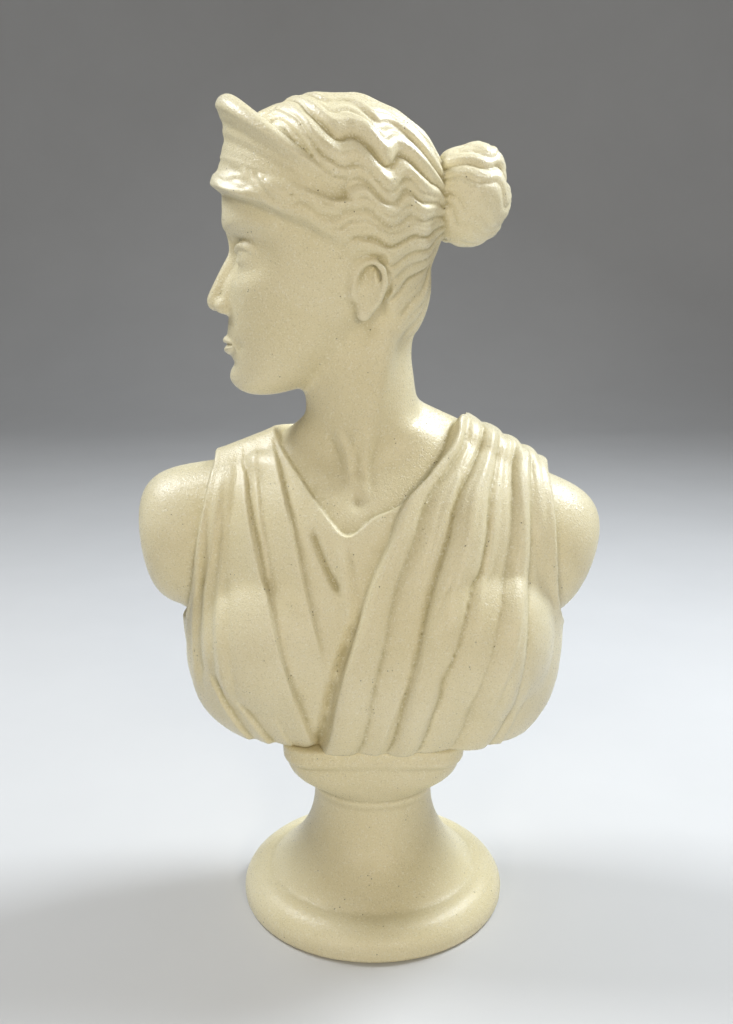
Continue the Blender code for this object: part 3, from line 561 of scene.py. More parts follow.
def bunField(head):
    fromMiddle = head - np.array(bun["place"])
    axis = np.array(bun["axis"])
    reach = np.linalg.norm(fromMiddle, axis=1)
    rise = np.arccos(np.clip(fromMiddle @ axis / np.maximum(reach, 1e-6), -1, 1)) / math.pi
    back = np.cross((1.0, 0.0, 0.0), axis)
    turn = np.arctan2(fromMiddle[:, 0], fromMiddle @ back)
    across = rise * bun["coils"] + turn / (2 * math.pi)
    across += 0.14 * np.sin(3 * turn + 7 * rise)
    across += 0.06 * np.sin(7 * turn)
    inside = ease((23.0 - reach) / 3.0) * ease((head[:, 1] - 36.5) / 3.0)
    return across, inside


def underDiadem(head, margin):
    # 1 where the diadem will sit and as far below its foot as the margin says
    x, y, z = head.T
    around = np.arctan2(np.abs(x) / diadem["halfWidth"], -y / diadem["frontReach"])
    front = np.clip(np.cos(around), 0, None)
    above = ease((z - between(diadem["foot"], front) + margin) / 1.5)
    above *= ease((between(diadem["top"], front) + between(diadem["lip"], front) - z) / 2.0)
    reach = np.hypot(x / diadem["halfWidth"], y / diadem["frontReach"])
    return above * ease((reach - 0.78) / 0.06) * ease((diadem["spread"] - around) / 0.15)


def carveHair(points, normals):
    head = toHead(points)
    low, high = hair["lowest"]
    cover = hairCover(head) * ease((points[:, 2] - low) / (high - low))
    across, wave, beside = lockField(head)
    crest, strand = lockRelief(across, 1.0)
    crest *= 1 + 0.22 * np.cos(wave + 0.6)
    amount = between((hair["sideRelief"], hair["crownRelief"]), ease((head[:, 2] - 8.0) / 22.0))
    amount *= 1 - hair["crownCalm"] * ease((head[:, 2] - 36.0) / 10.0)
    onCoil, onBun = bunField(head)
    bunCrest, bunStrand = lockRelief(onCoil, 4.0)
    amount = amount * (1 - onBun) + bun["relief"] * onBun
    crest = crest * (1 - onBun) + bunCrest * onBun
    strand = strand * (1 - onBun) + bunStrand * onBun
    # calm hair against the diadem, and none through it
    near = underDiadem(head, 3.0)
    crest = crest * (1 - near) + 0.7 * near
    strand = strand * (1 - near)
    relief = hair["thickness"] + hair["frontRoll"] * beside + amount * (1 - 0.5 * beside) * (crest - 0.6)
    relief += hair["strandRelief"] * strand * ease(crest * 2)
    relief = relief * (1 - underDiadem(head, 1.0))
    return points + normals * (cover * relief)[:, None]


face = {
    # place across and up, size across and up, how far forward
    "forms": (
        ((3.0, 5.5), (3.0, 3.5), 0.4),
        ((19.5, -11.5), (7.0, 6.5), 1.0),
        ((15.5, -23.0), (7.0, 6.5), 0.5),
        ((0.0, -29.5), (9.0, 6.0), 1.3),
        ((0.0, -43.2), (6.0, 4.4), 1.5),
        ((0.0, -37.6), (6.4, 1.8), -1.0),
        ((11.2, -31.2), (1.8, 2.0), -0.8),
        ((0.0, -25.0), (1.1, 2.4), -0.4),
        ((9.4, -21.8), (1.5, 3.0), -0.5),
    ),
    "mouthHeight": -31.0,
    "mouthHalf": 9.8,
    "upperLip": 3.1,
    "lowerLip": 3.9,
    "lipPush": 1.75,
    "browHeight": 7.6,
    "browArch": 2.4,
    "browPush": 1.25,
    "eyeAt": (12.7, -0.6),
    "eyeHalf": 5.9,
    "upperBow": 2.5,
    "lowerBow": 1.6,
    "upperLid": 1.1,
    "lowerLid": 0.6,
    "nostril": (2.9, -38.2, -21.0),
    "nostrilDepth": 1.3,
    # depth, place beside the eye, size
    "socketForms": (
        (3.8, (-7.0, 1.5), (4.6, 5.2)),
        (2.9, (0.5, 4.6), (8.5, 3.3)),
        (1.5, (0.5, -5.2), (8.0, 3.2)),
        (1.6, (8.0, 0.0), (3.5, 5.0)),
    ),
}


def bump(across, height, at, size):
    return np.exp(-(((across - at[0]) / size[0]) ** 2) - ((height - at[1]) / size[1]) ** 2)


def softMax(first, second, soft):
    near = np.clip(0.5 + 0.5 * (first - second) / soft, 0, 1)
    return second + (first - second) * near + soft * near * (1 - near)


def modelFace(points):
    head = toHead(points)
    across = np.abs(head[:, 0])
    height = head[:, 2]
    push = np.zeros(len(head))
    for at, size, amount in face["forms"]:
        push += amount * bump(across, height, at, size)
    half = face["mouthHalf"]
    line = face["mouthHeight"] + 0.5 * (across / half) ** 2 - 0.35 * np.exp(-((across / 1.6) ** 2))
    width = np.clip(1 - (across / half) ** 2, 0, 1)
    bow = 1 - 0.16 * np.exp(-((across / 1.5) ** 2)) + 0.10 * np.exp(-(((across - 3) / 1.5) ** 2))
    upper = np.clip((height - line) / (face["upperLip"] * width * bow + 0.01), 0, 1)
    lower = np.clip((line - height) / (face["lowerLip"] * width + 0.01), 0, 1)
    lips = np.sin(math.pi * upper) ** 0.8 + 1.15 * np.sin(math.pi * lower) ** 0.8
    push += face["lipPush"] * width**0.6 * lips
    push -= 0.75 * np.exp(-(((height - line) / 0.6) ** 2)) * ease((half + 0.8 - across) / 3.0)
    push += browForms(across, height) + eyeForms(across, height)
    push *= ease((-head[:, 1] - 10.0) / 10.0) * ease((height + 51.0) / 5.0)
    head[:, 1] -= push
    return fromHead(head)


def browForms(across, height):
    # a ridge over each eye, firmer below than above
    arch = face["browArch"] * np.sin(math.pi * np.clip((across - 4) / 26, 0, 1))
    over = height - face["browHeight"] - arch
    ridge = np.where(over < 0, np.exp(-((over / 1.7) ** 2)), np.exp(-((over / 5.0) ** 2)))
    return face["browPush"] * ridge * ease((across - 2.0) / 4.0) * ease((29.0 - across) / 8.0)


def eyeForms(across, height):
    # the socket, and in it the eyeball with its lids, as depths over the face
    u = across - face["eyeAt"][0]
    w = height - face["eyeAt"][1] - 0.05 * u
    socket = np.zeros(len(u))
    for depth, at, size in face["socketForms"]:
        socket -= depth * bump(u, w, at, size)
    share = np.clip(np.abs(u + 0.4) / face["eyeHalf"], 0, 1)
    above = w - face["upperBow"] * (1 - share**2.2)
    below = -w - face["lowerBow"] * (1 - share**2)
    ball = -0.9 - (0.50 * u**2 + 1.15 * w**2) / 14.0
    lids = face["upperLid"] * ease(above / 0.4 + 0.5) - 1.0 * np.clip(above - 1.5, 0, None)
    lids += face["lowerLid"] * ease(below / 0.5 + 0.5) - 0.45 * np.clip(below - 0.8, 0, None)
    lids -= 0.7 * np.clip(np.abs(u - 0.3) - face["eyeHalf"] + 0.4, 0, None)
    return softMax(ball + lids, socket, 0.6)


def openNostrils(points, normals):
    head = toHead(points)
    x, y, z = face["nostril"]
    reach = (np.abs(head[:, 0]) - x) ** 2 + ((head[:, 1] - y) * 0.7) ** 2 + (head[:, 2] - z) ** 2
    return points - normals * (face["nostrilDepth"] * np.exp(-reach / 1.9))[:, None]


cloth = {
    "neckX": (-38, -34, -26, -17, -10, 0, 11, 18, 23, 28, 32),
    "neckZ": (112, 107, 97, 86, 79, 84.5, 89.5, 95.5, 102, 111, 118),
    "sleeveZ": (0, 12, 36, 54, 80, 99),
    "sleeveLeft": (-70, -72, -69.5, -66, -61, -57.5),
    "sleeveRight": (70, 72, 69, 66, 63.5, 62),
    "mantleZ": (0, 5, 27, 46, 63, 76, 89, 96, 102, 112, 120),
    "mantleEdge": (-19, -17, -12, -6, -1, 5, 11, 18, 23, 28, 31),
    "outerZ": (0, 17, 36, 58, 80, 99),
    "outerX": (55, 63, 66, 65, 63.5, 61),
    # where the mantle's rolls part, as shares of its width, low, in the middle and high
    "splitZ": (18, 62, 105),
    "splits": (
        (0.0, 0.0, 0.0),
        (0.16, 0.13, 0.12),
        (0.295, 0.31, 0.33),
        (0.43, 0.53, 0.52),
        (0.59, 0.67, 0.69),
        (0.77, 0.79, 0.86),
        (1.0, 1.0, 1.0),
    ),
    "rolls": (2.6, 1.9, 3.3, 1.7, 2.7, 1.2),
    # no cloth above these heights: under the chin, and where the mantle passes the neck
    "highest": (121.0, 130.0),
    "thickness": 1.9,
    "edgeCrease": 1.1,
    "mantleThickness": 2.2,
    # laps and ridges: height and x at the top, in the middle and at the hem, rise, width
    "tunicLaps": (
        (109, -48, 46, -33, 3, -20.5, 2.3, 2.2),
        (112, -37, 74, -26, 30, -15.5, 1.9, 1.8),
        (110, -43, 60, -34.5, 8, -25, 0.9, 1.6),
        (30, -57, 18, -52, 1, -43, 1.7, 2.0),
        (22, -48, 13, -42.5, 1, -36, 1.7, 1.8),
        (16, -34, 9, -31.5, 0, -28, 1.0, 1.6),
    ),
    "tunicRidges": (
        (104, -57.5, 60, -62, 12, -63, 1.4, 1.7),
        (105, -54, 60, -57.5, 14, -57.5, 1.5, 1.9),
        (107, -51, 62, -53, 10, -50, 1.1, 2.0),
        (78, -12, 62, -9, 46, -7.5, 1.4, 1.8),
    ),
    "mantleLaps": (
        (70, 26.5, 48, 20, 22, 13, 0.8, 1.2),
        (92, 42.5, 72, 39.5, 50, 35, 0.7, 1.2),
        (38, 15, 22, 8.5, 2, 1, 0.9, 1.3),
        (62, 50, 42, 45.5, 20, 38, 0.8, 1.4),
        (114, 33, 100, 30, 84, 25, 0.7, 1.1),
        (30, 52, 18, 49, 3, 44, 0.8, 1.4),
    ),
    "slit": (82, -21.5, 70, -17, 58, -11.5, -2.6, 1.25),
    "valley": (2.6, 2.1),
    "pleats": 0.55,
    # the back's folds spread from one shoulder
    "fanCentre": (95.0, 150.0),
    "fanFolds": 9.0,
    "fanRise": 1.5,
}


def clothCover(points):
    x, y, z = points.T
    turn = ease((y + 4.0) / 12.0)
    inNeck = (x > cloth["neckX"][0]) & (x < cloth["neckX"][-1])
    frontLine = np.where(inNeck, softLine(x, cloth["neckX"], cloth["neckZ"]), 140.0)
    backLine = np.where((x > -36) & (x < 33), 108.0, 140.0)
    neckLine = frontLine * (1 - turn) + backLine * turn
    below = ease((neckLine - z) / 1.2 + 0.5)
    inside = ease((x - softLine(z, cloth["sleeveZ"], cloth["sleeveLeft"])) / 1.2 + 0.5)
    inside *= ease((softLine(z, cloth["sleeveZ"], cloth["sleeveRight"]) - x) / 1.2 + 0.5)
    inside = np.maximum(inside, ease((38.0 - z) / 3.0))
    return below * inside


def mantleRolls(points):
    x, y, z = points.T
    edge = softLine(z, cloth["mantleZ"], cloth["mantleEdge"])
    outer = softLine(z, cloth["outerZ"], cloth["outerX"])
    share = (x - edge) / np.maximum(outer - edge, 8.0)
    share = share + 0.022 * waveNoise(points, 48.0, 3) * ease(share * 4)
    cover = ease((x - edge) / 1.2 + 0.5)
    rows = [softLine(z, cloth["splitZ"], row) for row in cloth["splits"]]
    height = np.zeros_like(x)
    for low, high, crest in zip(rows, rows[1:], cloth["rolls"]):
        t = np.clip((share - low) / (high - low), 0, 1)
        own = 1 + 0.35 * waveNoise(points, 38.0, crest * 9)
        lean = t ** (1 + 0.55 * math.sin(crest * 40))
        height += crest * own * np.sqrt(np.clip(np.sin(math.pi * lean), 0, None)) * ((t > 0) & (t < 1))
    height += foldLines(points, cloth["mantleLaps"], lap)
    # fine pleats towards the shoulder
    pleat = np.abs(np.sin(math.pi * (share * 13.0 + 0.4 * waveNoise(points, 40.0, 5))))
    height += cloth["pleats"] * (np.sqrt(pleat) - 0.6) * (0.25 + 0.75 * ease((z - 45.0) / 45.0))
    # the deep dark valley beside the mantle's lower edge, with small cross folds in it
    depth, width = cloth["valley"]
    beside = np.exp(-(((x - edge + 2.2) / width) ** 2)) * ease((56.0 - z) / 14.0)
    valley = -depth * beside * (1 - 0.22 * ease(np.sin((z + 0.8 * x) / 2.6)))
    return height * cover, cover, valley


def lap(d, width):
    # the cloth on the left laps over the cloth on the right
    over = np.exp(np.minimum(d, 0) / (3 * width)) * ease(0.5 - d / 1.3)
    under = np.exp(-np.maximum(d, 0) / width) * ease(0.5 + d / 1.3)
    return over - 0.7 * under


def ridge(d, width):
    return np.exp(-((d / width) ** 2)) - 0.4 * np.exp(-(((np.abs(d) - 1.7 * width) / (0.6 * width)) ** 2))


def foldLines(points, lines, form):
    x, y, z = points.T
    height = np.zeros_like(x)
    for topZ, topX, midZ, midX, lowZ, lowX, rise, width in lines:
        line = softLine(z, (lowZ, midZ, topZ), (lowX, midX, topX)) + 0.35 * np.sin(z / 13.0 + topX)
        reach = 0.22 * (topZ - lowZ)
        ends = ease((z - lowZ) / reach + (0.8 if lowZ < 5 else 0)) * ease((topZ - z) / reach)
        height += rise * ends * (0.75 + 0.25 * np.sin(z / 13.0 + topX)) * form(x - line, width)
    return height


def tunicFolds(points):
    height = foldLines(points, cloth["tunicLaps"], lap) + foldLines(points, cloth["tunicRidges"], ridge)
    return height + foldLines(points, (cloth["slit"],), lambda d, width: np.exp(-((d / width) ** 2)))


def backFolds(points):
    x, y, z = points.T
    fan = np.arctan2(z - cloth["fanCentre"][1], x - cloth["fanCentre"][0])
    across = fan * cloth["fanFolds"] + 0.3 * np.sin(z / 19.0) + 0.25 * np.sin(x / 13.0 + 1.0)
    crest, _ = ridges(across, 2.0)
    return cloth["fanRise"] * crest - 0.4


neckForms = {
    # tendons: height and x at the top, in the middle and at the foot, rise, width
    "tendons": ((114, -13.5, 104, -9.5, 92, -6.5, 0.8, 1.9), (114, -1.5, 101, -3, 89, -3.6, 0.7, 1.7)),
    "pit": (-5.6, 89.5),
    "pitSize": 2.6,
    "pitDepth": 1.3,
}


def carveNeck(points, normals):
    x, y, z = points.T
    front = ease((-y - 8.0) / 5.0) * (1 - clothCover(points))
    away = ((x - neckForms["pit"][0]) ** 2 + (z - neckForms["pit"][1]) ** 2) / neckForms["pitSize"] ** 2
    height = foldLines(points, neckForms["tendons"], ridge) - neckForms["pitDepth"] * np.exp(-away)
    return points + normals * (front * height)[:, None]


def carveDrapery(points, normals):
    x, y, z = points.T
    cover = clothCover(points)
    front = ease((4.0 - y) / 10.0)
    rolls, mantle, valley = mantleRolls(points)
    tunic = (tunicFolds(points) + valley) * (1 - mantle)
    frontLift = cloth["thickness"] + tunic + mantle * cloth["mantleThickness"] + rolls
    backLift = cloth["thickness"] + 1.2 + backFolds(points)
    lift = cover * (front * frontLift + (1 - front) * backLift)
    lift -= cloth["edgeCrease"] * front * 4 * cover * (1 - cover)
    lift *= ease((between(cloth["highest"], ease((x - 18.0) / 6.0)) - z) / 3.0)
    return points + normals * lift[:, None]


def flatUnderside(piece):
    onlyActive(piece)
    bpy.ops.object.mode_set(mode="EDIT")
    bpy.ops.mesh.select_all(action="SELECT")
    bpy.ops.mesh.bisect(plane_co=(0, 0, 0), plane_no=(0, 0, 1), clear_inner=True, use_fill=True)
    bpy.ops.mesh.quads_convert_to_tris()
    bpy.ops.object.mode_set(mode="OBJECT")


def soften(piece, bodyRounds, headRounds):
    points = getPoints(piece.data)
    edges = getEdges(piece.data)
    low, high = figure["headFrom"]
    onHead = ease((points[:, 2] - low) / (high - low))
    points = relax(points, edges, 0.6 * (1 - onHead), bodyRounds)
    points = relax(points, edges, 0.6 * onHead, headRounds)
    setPoints(piece.data, points)


def reshape(piece, way):
    setPoints(piece.data, way(getPoints(piece.data)))


def carve(piece, way):
    setPoints(piece.data, way(getPoints(piece.data), getNormals(piece.data)))


def refineHead(piece):
    # smaller faces for the head's carving
    onlyActive(piece)
    bpy.ops.object.mode_set(mode="EDIT")
    bpy.ops.mesh.select_mode(type="FACE")
    bpy.ops.mesh.select_all(action="DESELECT")
    body = bmesh.from_edit_mesh(piece.data)
    for part in body.faces:
        part.select = part.calc_center_median().z > figure["headFaces"]
    bmesh.update_edit_mesh(piece.data)
    bpy.ops.mesh.subdivide(number_cuts=1)
    bpy.ops.object.mode_set(mode="OBJECT")


def countTriangles(piece):
    return sum(len(polygon.vertices) - 2 for polygon in piece.data.polygons)


def buildBust():
    clay = joinPieces(blockTorso() + blockHead(), "bustPiece")
    voxelSkin(clay, figure["blockVoxel"])
    soften(clay, 18, 7)
    features = intoHead(blockFace() + [lump(bun["place"], bun["radii"]), lump(*bun["knob"])])
    clay = joinPieces([clay] + features, "bustPiece")
    voxelSkin(clay, figure["carveVoxel"])
    soften(clay, 4, 5)
    print("figure blocked out")
    refineHead(clay)
    soften(clay, 2, 3)
    reshape(clay, modelFace)
    for way in (openNostrils, carveHair, carveNeck, carveDrapery):
        carve(clay, way)
    clay = joinPieces([clay] + intoHead(blockDiadem()), "bustPiece")
    voxelSkin(clay, figure["finalVoxel"])
    soften(clay, 1, 1)
    flatUnderside(clay)
    print("figure carved, faces:", len(clay.data.polygons))
    addModifier(clay, "DECIMATE", ratio=figure["triangles"] / countTriangles(clay))
    low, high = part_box("bust")
    points = getPoints(clay.data)
    unit = (high[2] - low[2]) / (points[:, 2].max() - points[:, 2].min())
    setPoints(clay.data, points * unit + np.array((0, 0, low[2])))
    onlyActive(clay)
    bpy.ops.object.shade_smooth()
    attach(clay, "root")
    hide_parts("bust")
    print("figure finished, faces:", len(clay.data.polygons))
    return clay


socle = {
    # in metres: the turned foot, neck and bowl, then the block under the bust
    "footRadius": 0.0510,
    "footHeight": 0.0126,
    "footStep": 0.0105,
    "neckRadius": 0.0228,
    "neckHeight": 0.0490,
    "bead": 0.0012,
    "bowlRadius": 0.0330,
    "bowlSquareness": 2.2,
    "bowlHeight": 0.0180,
    "blockWidth": 0.0664,
    "blockDepth": 0.0690,
    "blockCorner": 0.0110,
    "blockEdge": 0.0016,
    "uneven": 0.0003,
    "voxel": 0.00062,
    "triangles": 90000,
}


def socleProfile(top):
    r, h = socle["footRadius"], socle["footHeight"]
    neck, bead = socle["neckRadius"], socle["bead"]
    foot = h * 0.28
    step = r - socle["footStep"]
    points = [(0.0, 0.0), (r - 0.0018, 0.0), (r - 0.0008, foot * 0.15), (r - 0.0002, foot * 0.55)]
    for k in range(17):
        a = math.pi / 2 * k / 16
        points.append((step + socle["footStep"] * math.cos(a), foot + (h - foot) * math.sin(a)))
    low, high = h + 0.0006, socle["neckHeight"] - 2 * bead
    wide = step - 0.0012
    for k in range(33):
        t = k / 32
        points.append((neck + (wide - neck) * (1 - t) ** 2.4, low + (high - low) * t))
    mid = socle["neckHeight"] - bead
    for k in range(1, 12):
        a = math.pi * k / 12 - math.pi / 2
        points.append((neck + bead * math.cos(a), mid + bead * math.sin(a)))
    for k in range(1, 21):
        t = k / 20
        radius = neck + (socle["bowlRadius"] - neck) * math.sin(math.pi / 2 * t)
        points.append((radius, socle["neckHeight"] + socle["bowlHeight"] * t**1.2))
    points.append((socle["bowlRadius"], top - 0.004))
    points.append((0.0, top - 0.004))
    return points


def turnedPiece(name, profile, steps):
    # the profile is drawn as an edge chain and spun about Z in edit mode
    mesh = bpy.data.meshes.new(name)
    mesh.from_pydata([(r, 0.0, z) for r, z in profile], [(k, k + 1) for k in range(len(profile) - 1)], [])
    piece = addPiece(name, mesh)
    onlyActive(piece)
    bpy.ops.object.mode_set(mode="EDIT")
    bpy.ops.mesh.select_all(action="SELECT")
    bpy.ops.mesh.spin(steps=steps, angle=2 * math.pi, center=(0, 0, 0), axis=(0, 0, 1))
    bpy.ops.mesh.select_all(action="SELECT")
    bpy.ops.mesh.remove_doubles(threshold=1e-6)
    bpy.ops.mesh.normals_make_consistent(inside=False)
    bpy.ops.object.mode_set(mode="OBJECT")
    return piece


def squareBowl(points):
    # the bowl's round plan turns into the block's rounded square towards the top
    x, y, z = points.T
    radius = np.maximum(np.hypot(x, y), 1e-9)
    power = 2.0 + socle["bowlSquareness"] * ease((z - socle["neckHeight"]) / socle["bowlHeight"])
    size = ((np.abs(x) / radius) ** power + (np.abs(y) / radius) ** power) ** (1.0 / power)
    size = np.where(radius > 1e-6, size, 1.0)
    return np.stack([x / size, y / size, z], axis=1)


def bevelEdges(body, edges, width, segments):
    bmesh.ops.bevel(body, geom=edges, offset=width, segments=segments, affect="EDGES", profile=0.5)


def buildBlock(top):
    blockLow = socle["neckHeight"] + socle["bowlHeight"]
    bpy.ops.object.select_all(action="DESELECT")
    bpy.ops.mesh.primitive_cube_add(size=1.0)
    block = bpy.context.active_object
    block.scale = (socle["blockWidth"], socle["blockDepth"], top - blockLow)
    block.location = (0, 0, (top + blockLow) / 2)
    applyPlace(block)
    body = bmesh.new()
    body.from_mesh(block.data)
    upright = [e for e in body.edges if abs(e.verts[0].co.z - e.verts[1].co.z) > 1e-6]
    bevelEdges(body, upright, socle["blockCorner"], 12)
    topEdges = [e for e in body.edges if all(v.co.z > top - 1e-6 for v in e.verts)]
    bevelEdges(body, topEdges, socle["blockEdge"], 4)
    lowEdges = [e for e in body.edges if all(v.co.z < blockLow + 1e-6 for v in e.verts)]
    bevelEdges(body, lowEdges, socle["blockEdge"] * 2, 5)
    body.to_mesh(block.data)
    body.free()
    return block


def buildSocle():
    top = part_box("socle")[1][2]
    turned = turnedPiece("socleTurned", socleProfile(top), 160)
    reshape(turned, squareBowl)
    piece = joinPieces([turned, buildBlock(top)], "soclePiece")
    voxelSkin(piece, socle["voxel"])
    points = getPoints(piece.data)
    edges = getEdges(piece.data)
    firm = ease((points[:, 2] - 0.0015) / 0.001) * ease((top - 0.0012 - points[:, 2]) / 0.001)
    points = relax(points, edges, 0.6 * firm, 6)
    # slightly uneven, as cast
    uneven = firm * socle["uneven"] * (0.5 + 0.5 * waveNoise(points, 0.014, 2))
    points -= getNormals(piece.data) * uneven[:, None]
    points[:, 2] = np.clip(points[:, 2], 0.0, top)
    setPoints(piece.data, points)
    addModifier(piece, "DECIMATE", ratio=min(1.0, socle["triangles"] / countTriangles(piece)))
    onlyActive(piece)
    bpy.ops.object.shade_smooth()
    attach(piece, "root")
    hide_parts("socle")
    print("socle finished, faces:", len(piece.data.polygons))
    return piece


# Marks on the surface that the paint reads: how sunken and how convex each point is, which it turns into
# painted shade and painted highlight

def markHollows(piece):
    points = getPoints(piece.data)
    normals = getNormals(piece.data)
    edges = getEdges(piece.data)
    count = len(points)
    beside = np.maximum(np.bincount(edges.ravel(), minlength=count), 1)
    across = points[edges[:, 1]] - points[edges[:, 0]]
    length = np.maximum(np.linalg.norm(across, axis=1), 1e-7)
    bend = np.bincount(edges[:, 0], (across * normals[edges[:, 0]]).sum(axis=1) / length, count)
    bend -= np.bincount(edges[:, 1], (across * normals[edges[:, 1]]).sum(axis=1) / length, count)
    bend /= beside
    close = spread(bend, edges, 4)
    wide = spread(bend, edges, 30)
    # sunken places, which the paint darkens as painted shade
    hollow = np.clip(close * 7.0 + wide * 4.0, 0.0, 1.0)
    # convex places, which the paint lightens as painted highlight
    ridgeHighlight = np.clip(-close * 5.0 - wide * 3.0, 0.0, 1.0)
    for name, values in (("hollow", hollow), ("ridgeHighlight", ridgeHighlight)):
        mark = piece.data.attributes.new(name, "FLOAT", "POINT")
        mark.data.foreach_set("value", values.astype(np.float32))


# Materials

class Wire:
    # a socket that takes arithmetic
    def __init__(self, paint, socket):
        self.paint = paint
        self.socket = socket

    def math(self, operation, *others):
        return self.paint.node("ShaderNodeMath", {"operation": operation}, dict(enumerate((self, *others))))

    def __add__(self, other):
        return self.math("ADD", other)

    def __radd__(self, other):
        return self.math("ADD", other)

    def __sub__(self, other):
        return self.math("SUBTRACT", other)

    def __rsub__(self, other):
        return self.paint.node("ShaderNodeMath", {"operation": "SUBTRACT"}, {0: other, 1: self})

    def __mul__(self, other):
        return self.math("MULTIPLY", other)

    def __rmul__(self, other):
        return self.math("MULTIPLY", other)

    def clip(self):
        return self.paint.node("ShaderNodeClamp", {}, {"Value": self})


class Paint:
    def __init__(self, name):
        self.material = bpy.data.materials.new(name)
        self.material.use_nodes = True
        self.tree = self.material.node_tree
        self.shader = self.tree.nodes["Principled BSDF"]
        self.place = self.node("ShaderNodeTexCoord", {}, {}, "Object")

    def node(self, kind, settings, values, output=0):
        made = self.tree.nodes.new(kind)
        for name, value in settings.items():
            setattr(made, name, value)
        for name, value in values.items():
            if isinstance(value, Wire):
                self.tree.links.new(value.socket, made.inputs[name])
            else:
                made.inputs[name].default_value = value
        return Wire(self, made.outputs[output])

    def ramp(self, value, *stops):
        # grey levels at two places: (place, level) twice
        made = self.node("ShaderNodeValToRGB", {}, {0: value})
        for end, (position, level) in zip(made.socket.node.color_ramp.elements, stops):
            end.position = position
            end.color = (level, level, level, 1)
        return made

    def noise(self, scale, detail=2.0, roughness=0.5):
        values = {"Vector": self.place, "Scale": scale, "Detail": detail, "Roughness": roughness}
        return self.node("ShaderNodeTexNoise", {}, values)

    def mark(self, name):
        return self.node("ShaderNodeAttribute", {"attribute_name": name}, {}, "Fac")

    def mix(self, share, first, second):
        # inputs and output of the colour form of the node, by number
        return self.node("ShaderNodeMix", {"data_type": "RGBA"}, {0: share, 6: first, 7: second}, 2)

    def feed(self, name, value):
        if isinstance(value, Wire):
            self.tree.links.new(value.socket, self.shader.inputs[name])
        else:
            self.shader.inputs[name].default_value = value


ivory = {
    # top is the pale ivory, also used as the painted highlight on convex ridges
    "top": (0.78, 0.72, 0.52, 1),
    "warm": (0.68, 0.595, 0.35, 1),
    # recess is the dark olive of the painted shade in hollows and creases; it also darkens the fine grain
    "recess": (0.32, 0.265, 0.10, 1),
    "pit": (0.06, 0.045, 0.02, 1),
    # speck is a pale fleck colour that partly stands for glints: painted highlight
    "speck": (0.93, 0.90, 0.78, 1),
    "grainScale": 2000.0,
    "speckScale": 1500.0,
    "lumpScale": 700.0,
    "pitScale": 560.0,
    "roughness": 0.37,
}


def ivoryPaint(name, warmth):
    # sprayed ivory over a cast, with pits and a bright fine grain; painted shade darkens and warms the
    # hollows, painted highlight pales the convex ridges, and the grain's pale flecks are partly painted
    # glints
    paint = Paint(name)
    hollow = paint.mark("hollow")
    ridgeHighlight = paint.mark("ridgeHighlight")
    clouds = paint.noise(26.0, 3.0)
    mottle = paint.noise(150.0, 3.0, 0.65)
    grain = paint.noise(ivory["grainScale"], 1.0)
    lumps = paint.noise(ivory["lumpScale"], 2.0, 0.6)
    clouded = paint.ramp(clouds, (0.35, 0.0), (0.65, 1.0))
    # painted highlight: convex ridges turn paler towards the top colour
    tone = (clouded * 0.35 + mottle * 0.3 + warmth - ridgeHighlight * 0.35).clip()
    colour = paint.mix(tone, ivory["top"], ivory["warm"])
    # painted shade: hollows and creases darken towards the olive recess colour
    hollowShade = paint.ramp(hollow + (mottle - 0.5) * 0.2, (0.05, 0.0), (0.85, 1.0))
    colour = paint.mix(hollowShade * 0.58, colour, ivory["recess"])
    # pale flecks, glossier and raised, whose paler colour is partly a painted glint
    glintSpeckle = paint.ramp(paint.noise(ivory["speckScale"], 1.0), (0.57, 0.0), (0.66, 1.0))
    colour = paint.mix(glintSpeckle * 0.35, colour, ivory["speck"])
    shade = paint.ramp(grain, (0.34, 1.0), (0.46, 0.0))
    colour = paint.mix(shade * 0.16, colour, ivory["recess"])
    cells = paint.node("ShaderNodeTexVoronoi", {}, {"Vector": paint.place, "Scale": ivory["pitScale"]})
    near = paint.ramp(cells, (0.06, 1.0), (0.17, 0.0))
    chance = paint.ramp(paint.noise(210.0, 0.0) + hollow * 0.34, (0.67, 0.0), (0.75, 1.0))
    pits = near * chance
    colour = paint.mix(pits * 0.85, colour, ivory["pit"])
    paint.feed("Base Color", colour)
    rough = ivory["roughness"] + (grain - 0.5) * 0.5 - glintSpeckle * 0.12 + hollowShade * 0.15
    paint.feed("Roughness", rough.clip())
    paint.feed("Specular IOR Level", 0.55)
    height = grain * 0.5 + lumps * 0.6 + glintSpeckle * 0.25 - pits * 1.0
    bump = paint.node("ShaderNodeBump", {}, {"Strength": 0.75, "Distance": 0.00028, "Height": height})
    paint.feed("Normal", bump)
    return paint.material


def floorPaint():
    # a pale backdrop, faintly mottled like coated paper
    paint = Paint("studioFloor")
    grain = paint.noise(9.0, 4.0, 0.6)
    paint.feed("Base Color", paint.mix(grain, stage["floorDark"], stage["floorPale"]))
    paint.feed("Roughness", (0.70 + grain * 0.15).clip())
    return paint.material


stage = {
    "floorPale": (0.60, 0.60, 0.60, 1),
    "floorDark": (0.55, 0.55, 0.55, 1),
    "floorFront": 4.0,
    "floorBack": 1.1,
    "floorSide": 5.0,
    "sweepRadius": 0.7,
    "wallHeight": 3.0,
    # place, size, power and colour
    "key": ((-0.48, 0.16, 0.80), 0.26, 5.2, (0.92, 0.96, 1.0)),
    "rim": ((0.46, 0.22, 0.74), 0.26, 7.4, (0.88, 0.94, 1.0)),
    "front": ((0.30, -0.95, 0.42), 0.16, 2.6, (1.0, 0.90, 0.72)),
    "frontLeft": ((-0.38, -0.95, 0.40), 0.14, 1.7, (1.0, 0.90, 0.72)),
    "aim": (0.0, 0.0, 0.17),
    "sky": (0.80, 0.80, 0.80, 1),
    "skyPower": 0.27,
}


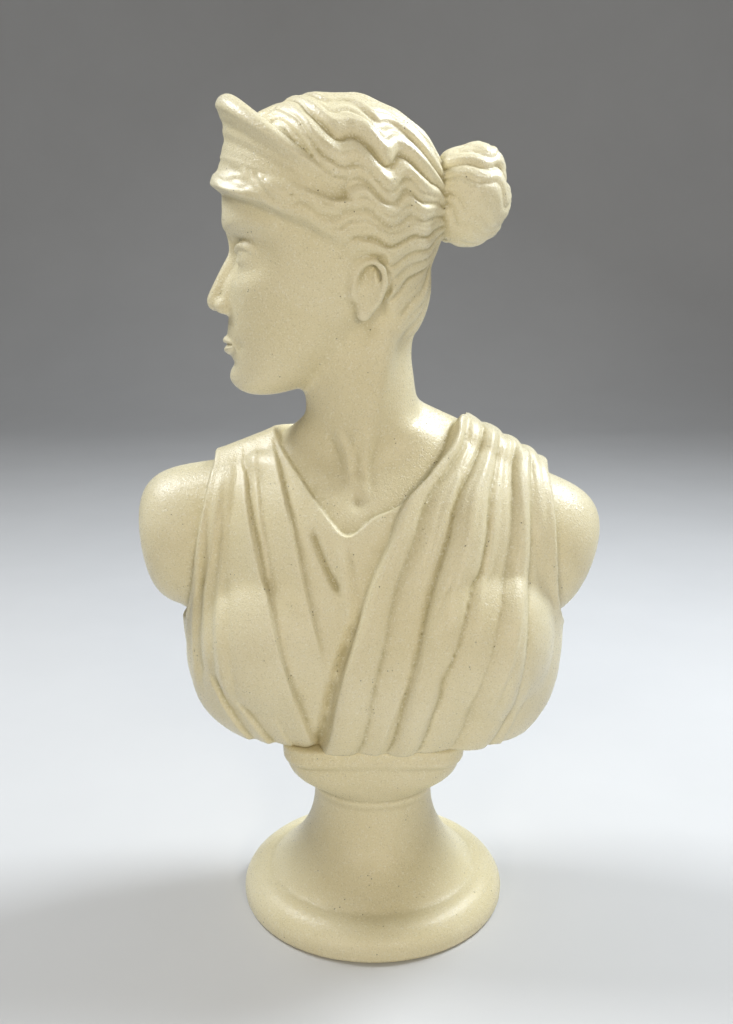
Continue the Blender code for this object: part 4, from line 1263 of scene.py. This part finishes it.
def addLight(name, place, size, power, colour):
    bpy.ops.object.select_all(action="DESELECT")
    bpy.ops.object.light_add(type="AREA", location=place)
    lamp = bpy.context.active_object
    lamp.name = name
    lamp.data.size = size
    lamp.data.energy = power
    lamp.data.color = colour
    lamp.rotation_euler = (Vector(stage["aim"]) - Vector(place)).to_track_quat("-Z", "Y").to_euler()


def backdropProfile():
    # from the front edge of the floor, round a wide sweep, up the wall behind
    radius = stage["sweepRadius"]
    points = [(-stage["floorFront"], 0.0)]
    for k in range(17):
        a = math.pi / 2 * k / 16
        points.append((stage["floorBack"] + radius * math.sin(a), radius - radius * math.cos(a)))
    points.append((stage["floorBack"] + radius, stage["wallHeight"]))
    return points


def buildStage():
    profile = backdropProfile()
    side = stage["floorSide"]
    points = [(x, y, z) for y, z in profile for x in (-side, side)]
    faces = [(2 * k, 2 * k + 1, 2 * k + 3, 2 * k + 2) for k in range(len(profile) - 1)]
    mesh = bpy.data.meshes.new("floor")
    mesh.from_pydata(points, [], faces)
    floor = addPiece("floor", mesh)
    onlyActive(floor)
    bpy.ops.object.shade_smooth()
    floor.data.materials.append(floorPaint())
    for name in ("key", "rim", "front", "frontLeft"):
        addLight(name + "Light", *stage[name])
    world = bpy.data.worlds.new("studio")
    bpy.context.scene.world = world
    world.use_nodes = True
    background = world.node_tree.nodes["Background"]
    background.inputs["Color"].default_value = stage["sky"]
    background.inputs["Strength"].default_value = stage["skyPower"]
    bpy.context.scene.view_settings.view_transform = "Standard"


view = {
    # the photo's own view
    "place": (-0.0025, -0.397, 0.2522),
    "tilt": math.radians(90 - 13.8),
    "lens": 36 * 1107 / 1024,
}


def addCamera():
    bpy.ops.object.select_all(action="DESELECT")
    bpy.ops.object.camera_add(location=view["place"], rotation=(view["tilt"], 0, 0))
    camera = bpy.context.active_object
    camera.data.sensor_width = 36
    camera.data.lens = view["lens"]
    camera.data.clip_start = 0.01
    bpy.context.scene.camera = camera


bustPiece = buildBust()
soclePiece = buildSocle()
for piece, name, warmth in ((bustPiece, "bustIvory", 0.12), (soclePiece, "socleIvory", 0.30)):
    markHollows(piece)
    piece.data.materials.clear()
    piece.data.materials.append(ivoryPaint(name, warmth))
print("painted")
buildStage()
addCamera()
print("staged")
